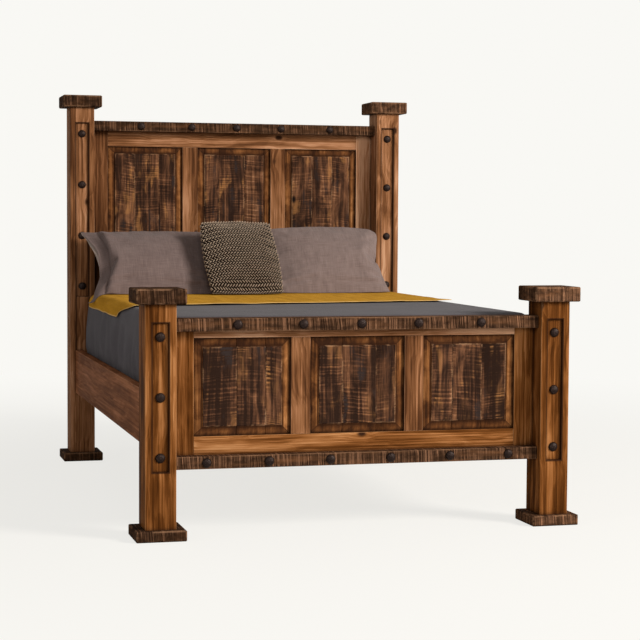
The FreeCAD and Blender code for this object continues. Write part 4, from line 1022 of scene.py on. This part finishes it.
# The left case is given darker colours and the right case lighter ones: painted shade and painted light on
# one linen, for light that falls from the right.
for node, width, lean, aside, belly, hem, seed, round_corner, shade, light in (
        ("pillow_left", 0.58, 48.0, -0.004, (-0.06, 0.05, 0.06), 0.08, 1.0, 0.0,
         (0.092, 0.065, 0.061), (0.183, 0.136, 0.128)),
        ("pillow_right", 0.596, 54.0, -0.012, (0.08, -0.08, 0.10), 0.0, 6.0, 0.07,
         (0.112, 0.081, 0.075), (0.222, 0.168, 0.157))):
    mesh, flat = filled_cover(width, height, thick=0.165, cell=0.011, stiffness=30.0, belly=belly,
                              hem=hem, seed=seed, round_corner=round_corner)
    spots = [vert.co.copy() for vert in mesh.vertices]
    creased(spots, flat, 0.0030, seed)
    seam = hem - (width + hem) / 2
    spots = leant(spots, node, lean, sink=0.022, loose=seam)
    for spot, place in zip(spots, flat):
        spot.x += aside
        over = min(round_part, max(0.0, -spot.x - flat_part))
        sag = round_part - math.sqrt(round_part ** 2 - over ** 2)
        low_share = min(1.0, max(0.0, (0.3 - place.y / (height / 2)) / 0.9))
        spot.z -= min(sag, droop) * low_share ** 2 * (3 - 2 * low_share)
    shape = bmesh.new()
    shape.from_mesh(mesh)
    shape.verts.ensure_lookup_table()
    for vert, spot in zip(shape.verts, spots):
        vert.co = spot
    for face in shape.faces:
        hemmed = all(flat[vert.index].x < seam for vert in face.verts)
        face.material_index = 1 if hemmed and any(flat[vert.index].z < 0 for vert in face.verts) else 0
    case_cloth = linen("taupe_linen_" + node, shade, light)
    item = piece(shape, "linen_" + node, node, case_cloth, "pillow_linen", node)
    item.data.materials.append(case_lining)
    soft_cloth(item)


# Cushion: a square cover knitted in thick olive wool, row on row of slanting stitches, filled and
# stood in front of the pillows.

def wool(name, shade, light):
    """Matt wool, flecked from strand to strand between shade and light."""
    cloth = Finish(name)
    twist = cloth.noise(cloth.place, 700.0, 2.0, 0.6)
    batch = cloth.noise(cloth.place, 40.0, 2.0, 0.5)
    tone = cloth.scaled(twist, 0.9, cloth.scaled(batch, 0.6, -0.3))
    return cloth.surface(cloth.mix(tone, shade, light), 0.95, twist, 0.0008, specular=0.01, sheen=0.1)


width, height, thick, cell = 0.376, 0.428, 0.118, 0.012
mesh, flat = filled_cover(width, height, thick, cell, stiffness=40.0, belly=(0.09, 0.09, 0.06), seed=11.0)
columns, rows = round(width / cell), round(height / cell)
cover = {}
for vert, where in zip(mesh.vertices, flat):
    place = (round((where.x / width + 0.5) * columns), round((where.y / height + 0.5) * rows))
    for side in ((1, -1) if abs(where.z) < 1e-6 else (int(math.copysign(1, where.z)),)):
        cover[side, place[0], place[1]] = vert.co.copy()


def on_cover(side, u, v):
    """The point of the filled cover that a point of the flat knitting came to."""
    column = min(columns - 1, max(0, int(u * columns)))
    row = min(rows - 1, max(0, int(v * rows)))
    s, t = u * columns - column, v * rows - row
    low = cover[side, column, row].lerp(cover[side, column + 1, row], s)
    high = cover[side, column, row + 1].lerp(cover[side, column + 1, row + 1], s)
    return low.lerp(high, t)


across, up = 26, 32
half_length, half_width, half_thick, height_off, drop = 0.0090, 0.0024, 0.0032, 0.0026, 0.0030
shape = bmesh.new()
bmesh.ops.create_uvsphere(shape, u_segments=6, v_segments=5, radius=1.0)
for face in shape.faces:
    face.material_index = 1
pattern = bpy.data.meshes.new("strand")
shape.to_mesh(pattern)
shape.clear()
shape.from_mesh(pattern)
strand = len(pattern.vertices)
while len(shape.verts) < 2 * up * across * strand:
    bmesh.ops.duplicate(shape, geom=whole(shape))
loose = shape.verts[:]
for side in (1, -1):
    for row in range(up):
        lean = 1 if row % 2 else -1
        for column in range(across):
            u, v = (column + 0.5 + 0.25 * lean) / across, (row + 0.5) / up
            v += 0.011 * noise.noise(Vector((u * 4.0, v * 5.0, side * 3.0))) * 4 * v * (1 - v)
            middle = on_cover(side, u, v)
            right = on_cover(side, min(1.0, u + 0.01), v) - on_cover(side, max(0.0, u - 0.01), v)
            rise = on_cover(side, u, min(1.0, v + 0.01)) - on_cover(side, u, max(0.0, v - 0.01))
            right.normalize()
            rise.normalize()
            facing = right.cross(rise).normalized() * side
            wobble = noise.noise(Vector((column * 1.7, row * 2.3, side * 5.0)))
            angle = math.radians(42 * lean + 13 * wobble)
            way = right * math.cos(angle) + rise * math.sin(angle)
            cross = facing.cross(way)
            for vert in loose[:strand]:
                part = vert.co.copy()
                vert.co = (middle + way * (part.z * half_length) + cross * (part.x * half_width)
                           + facing * (height_off + part.y * half_thick - drop * part.z * part.z))
            del loose[:strand]
bmesh.ops.delete(shape, geom=loose, context="VERTS")
mesh.transform(Matrix.Scale(0.985, 4))
shape.from_mesh(mesh)
shape.loops.layers.uv.remove(shape.loops.layers.uv["flat"])
shape.verts.layers.float_vector.remove(shape.verts.layers.float_vector["cut"])
spots = leant([vert.co.copy() for vert in shape.verts], "knit_cushion", lean=55.0, turn=4.0, sink=0.008)
for vert, spot in zip(shape.verts, spots):
    vert.co = spot
# The near-black ground under the stitches is painted shade, standing for the shadow between them.
stitch_gap_shade = wool("wool_gap_shade", shade=(0.006, 0.004, 0.003), light=(0.016, 0.011, 0.007))
item = piece(shape, "wool_knit_cushion", "knit_cushion", stitch_gap_shade, "cushion_knit", "knit_cushion")
yarn = wool("wool_yarn", shade=(0.178, 0.132, 0.097), light=(0.420, 0.327, 0.244))
item.data.materials.append(yarn)
item.data.shade_smooth()


# Studio: a plain pale floor and backdrop under soft light from the front right, and a camera at
# the foot of the bed, a little to the left and at about a person's chest height.

def looked_at(tree):
    """One where the eye, or metal or glass, sees the backdrop, and nought for the light it casts."""
    path = tree.node("LightPath").outputs
    share = path["Is Camera Ray"]
    for ray in ("Is Glossy Ray", "Is Transmission Ray"):
        share = tree.maths(share, "MAXIMUM", path[ray])
    return share


stage_mesh = bpy.data.meshes.new("studio_floor")
ground = bmesh.new()
bmesh.ops.create_grid(ground, x_segments=1, y_segments=1, size=30.0)
ground.to_mesh(stage_mesh)
ground.free()
floor = bpy.data.objects.new("studio_floor", stage_mesh)
bpy.context.scene.collection.objects.link(floor)
PAPER = (0.947, 0.939, 0.905)
paper = Finish("pale_paper")
paper.surface((0.80, 0.79, 0.77, 1.0), 0.9, specular=0.0)
apart = paper.node("VectorMath", paper.place, operation="LENGTH").outputs["Value"]
spread = paper.node("MapRange", apart, 1.2, 6.0, 0.80, 1.0, interpolation_type="SMOOTHSTEP").outputs[0]
share = paper.times(looked_at(paper), spread)
glow = paper.node("Emission", (*PAPER, 1.0)).outputs[0]
blended = paper.node("MixShader", share, paper.shader.outputs[0], glow).outputs[0]
paper.give(paper.tree.nodes["Material Output"].inputs["Surface"], blended)
stage_mesh.materials.append(paper.material)

world = bpy.data.worlds.new("studio")
bpy.context.scene.world = world
world.use_nodes = True
sky = Nodes(world.node_tree)
dim = sky.tree.nodes["Background"]
sky.give(dim.inputs["Color"], (1.0, 0.94, 0.86, 1.0))
sky.give(dim.inputs["Strength"], 0.27)
bright = sky.node("Background", (*PAPER, 1.0), 1.0)
chosen = sky.node("MixShader", looked_at(sky), dim.outputs[0], bright.outputs[0]).outputs[0]
sky.give(sky.tree.nodes["World Output"].inputs["Surface"], chosen)


def lamp(name, place, aim, width, watts, colour):
    """A round soft lamp at a place, turned to what it lights."""
    light = bpy.data.lights.new(name, "AREA")
    light.shape = "DISK"
    light.size = width
    light.energy = watts
    light.color = colour
    item = bpy.data.objects.new(name, light)
    bpy.context.scene.collection.objects.link(item)
    item.location = place
    item.rotation_euler = (Vector(aim) - Vector(place)).to_track_quat("-Z", "Y").to_euler()


lamp("key_light", (7.4, -7.4, 5.2), (0.0, 0.0, 0.8), 3.6, 1750.0, (1.0, 0.95, 0.88))
lamp("side_light", (-7.5, -4.5, 3.4), (0.0, 0.0, 0.7), 2.4, 100.0, (1.0, 0.95, 0.90))
lamp("fill_light", (-1.2, -9.0, 3.6), (0.0, 0.0, 0.8), 3.0, 150.0, (1.0, 0.96, 0.92))

camera_data = bpy.data.cameras.new("photo_camera")
camera_data.sensor_width = 36.0
camera_data.sensor_fit = "HORIZONTAL"
camera_data.lens = 98.78
camera_data.clip_end = 200.0
camera = bpy.data.objects.new("photo_camera", camera_data)
bpy.context.scene.collection.objects.link(camera)
yaw, pitch, roll = 0.2623, -0.0576, 0.0058
ahead = Vector((math.sin(yaw) * math.cos(pitch), math.cos(yaw) * math.cos(pitch), math.sin(pitch)))
level_right = Vector((math.cos(yaw), -math.sin(yaw), 0.0))
level_up = level_right.cross(ahead)
right = level_right * math.cos(roll) + level_up * math.sin(roll)
upward = level_up * math.cos(roll) - level_right * math.sin(roll)
turned = Matrix((right, upward, -ahead)).transposed().to_4x4()
camera.matrix_world = Matrix.Translation((-1.8926, -7.591, 1.2008)) @ turned
bpy.context.scene.camera = camera
bpy.context.scene.view_settings.view_transform = "Standard"
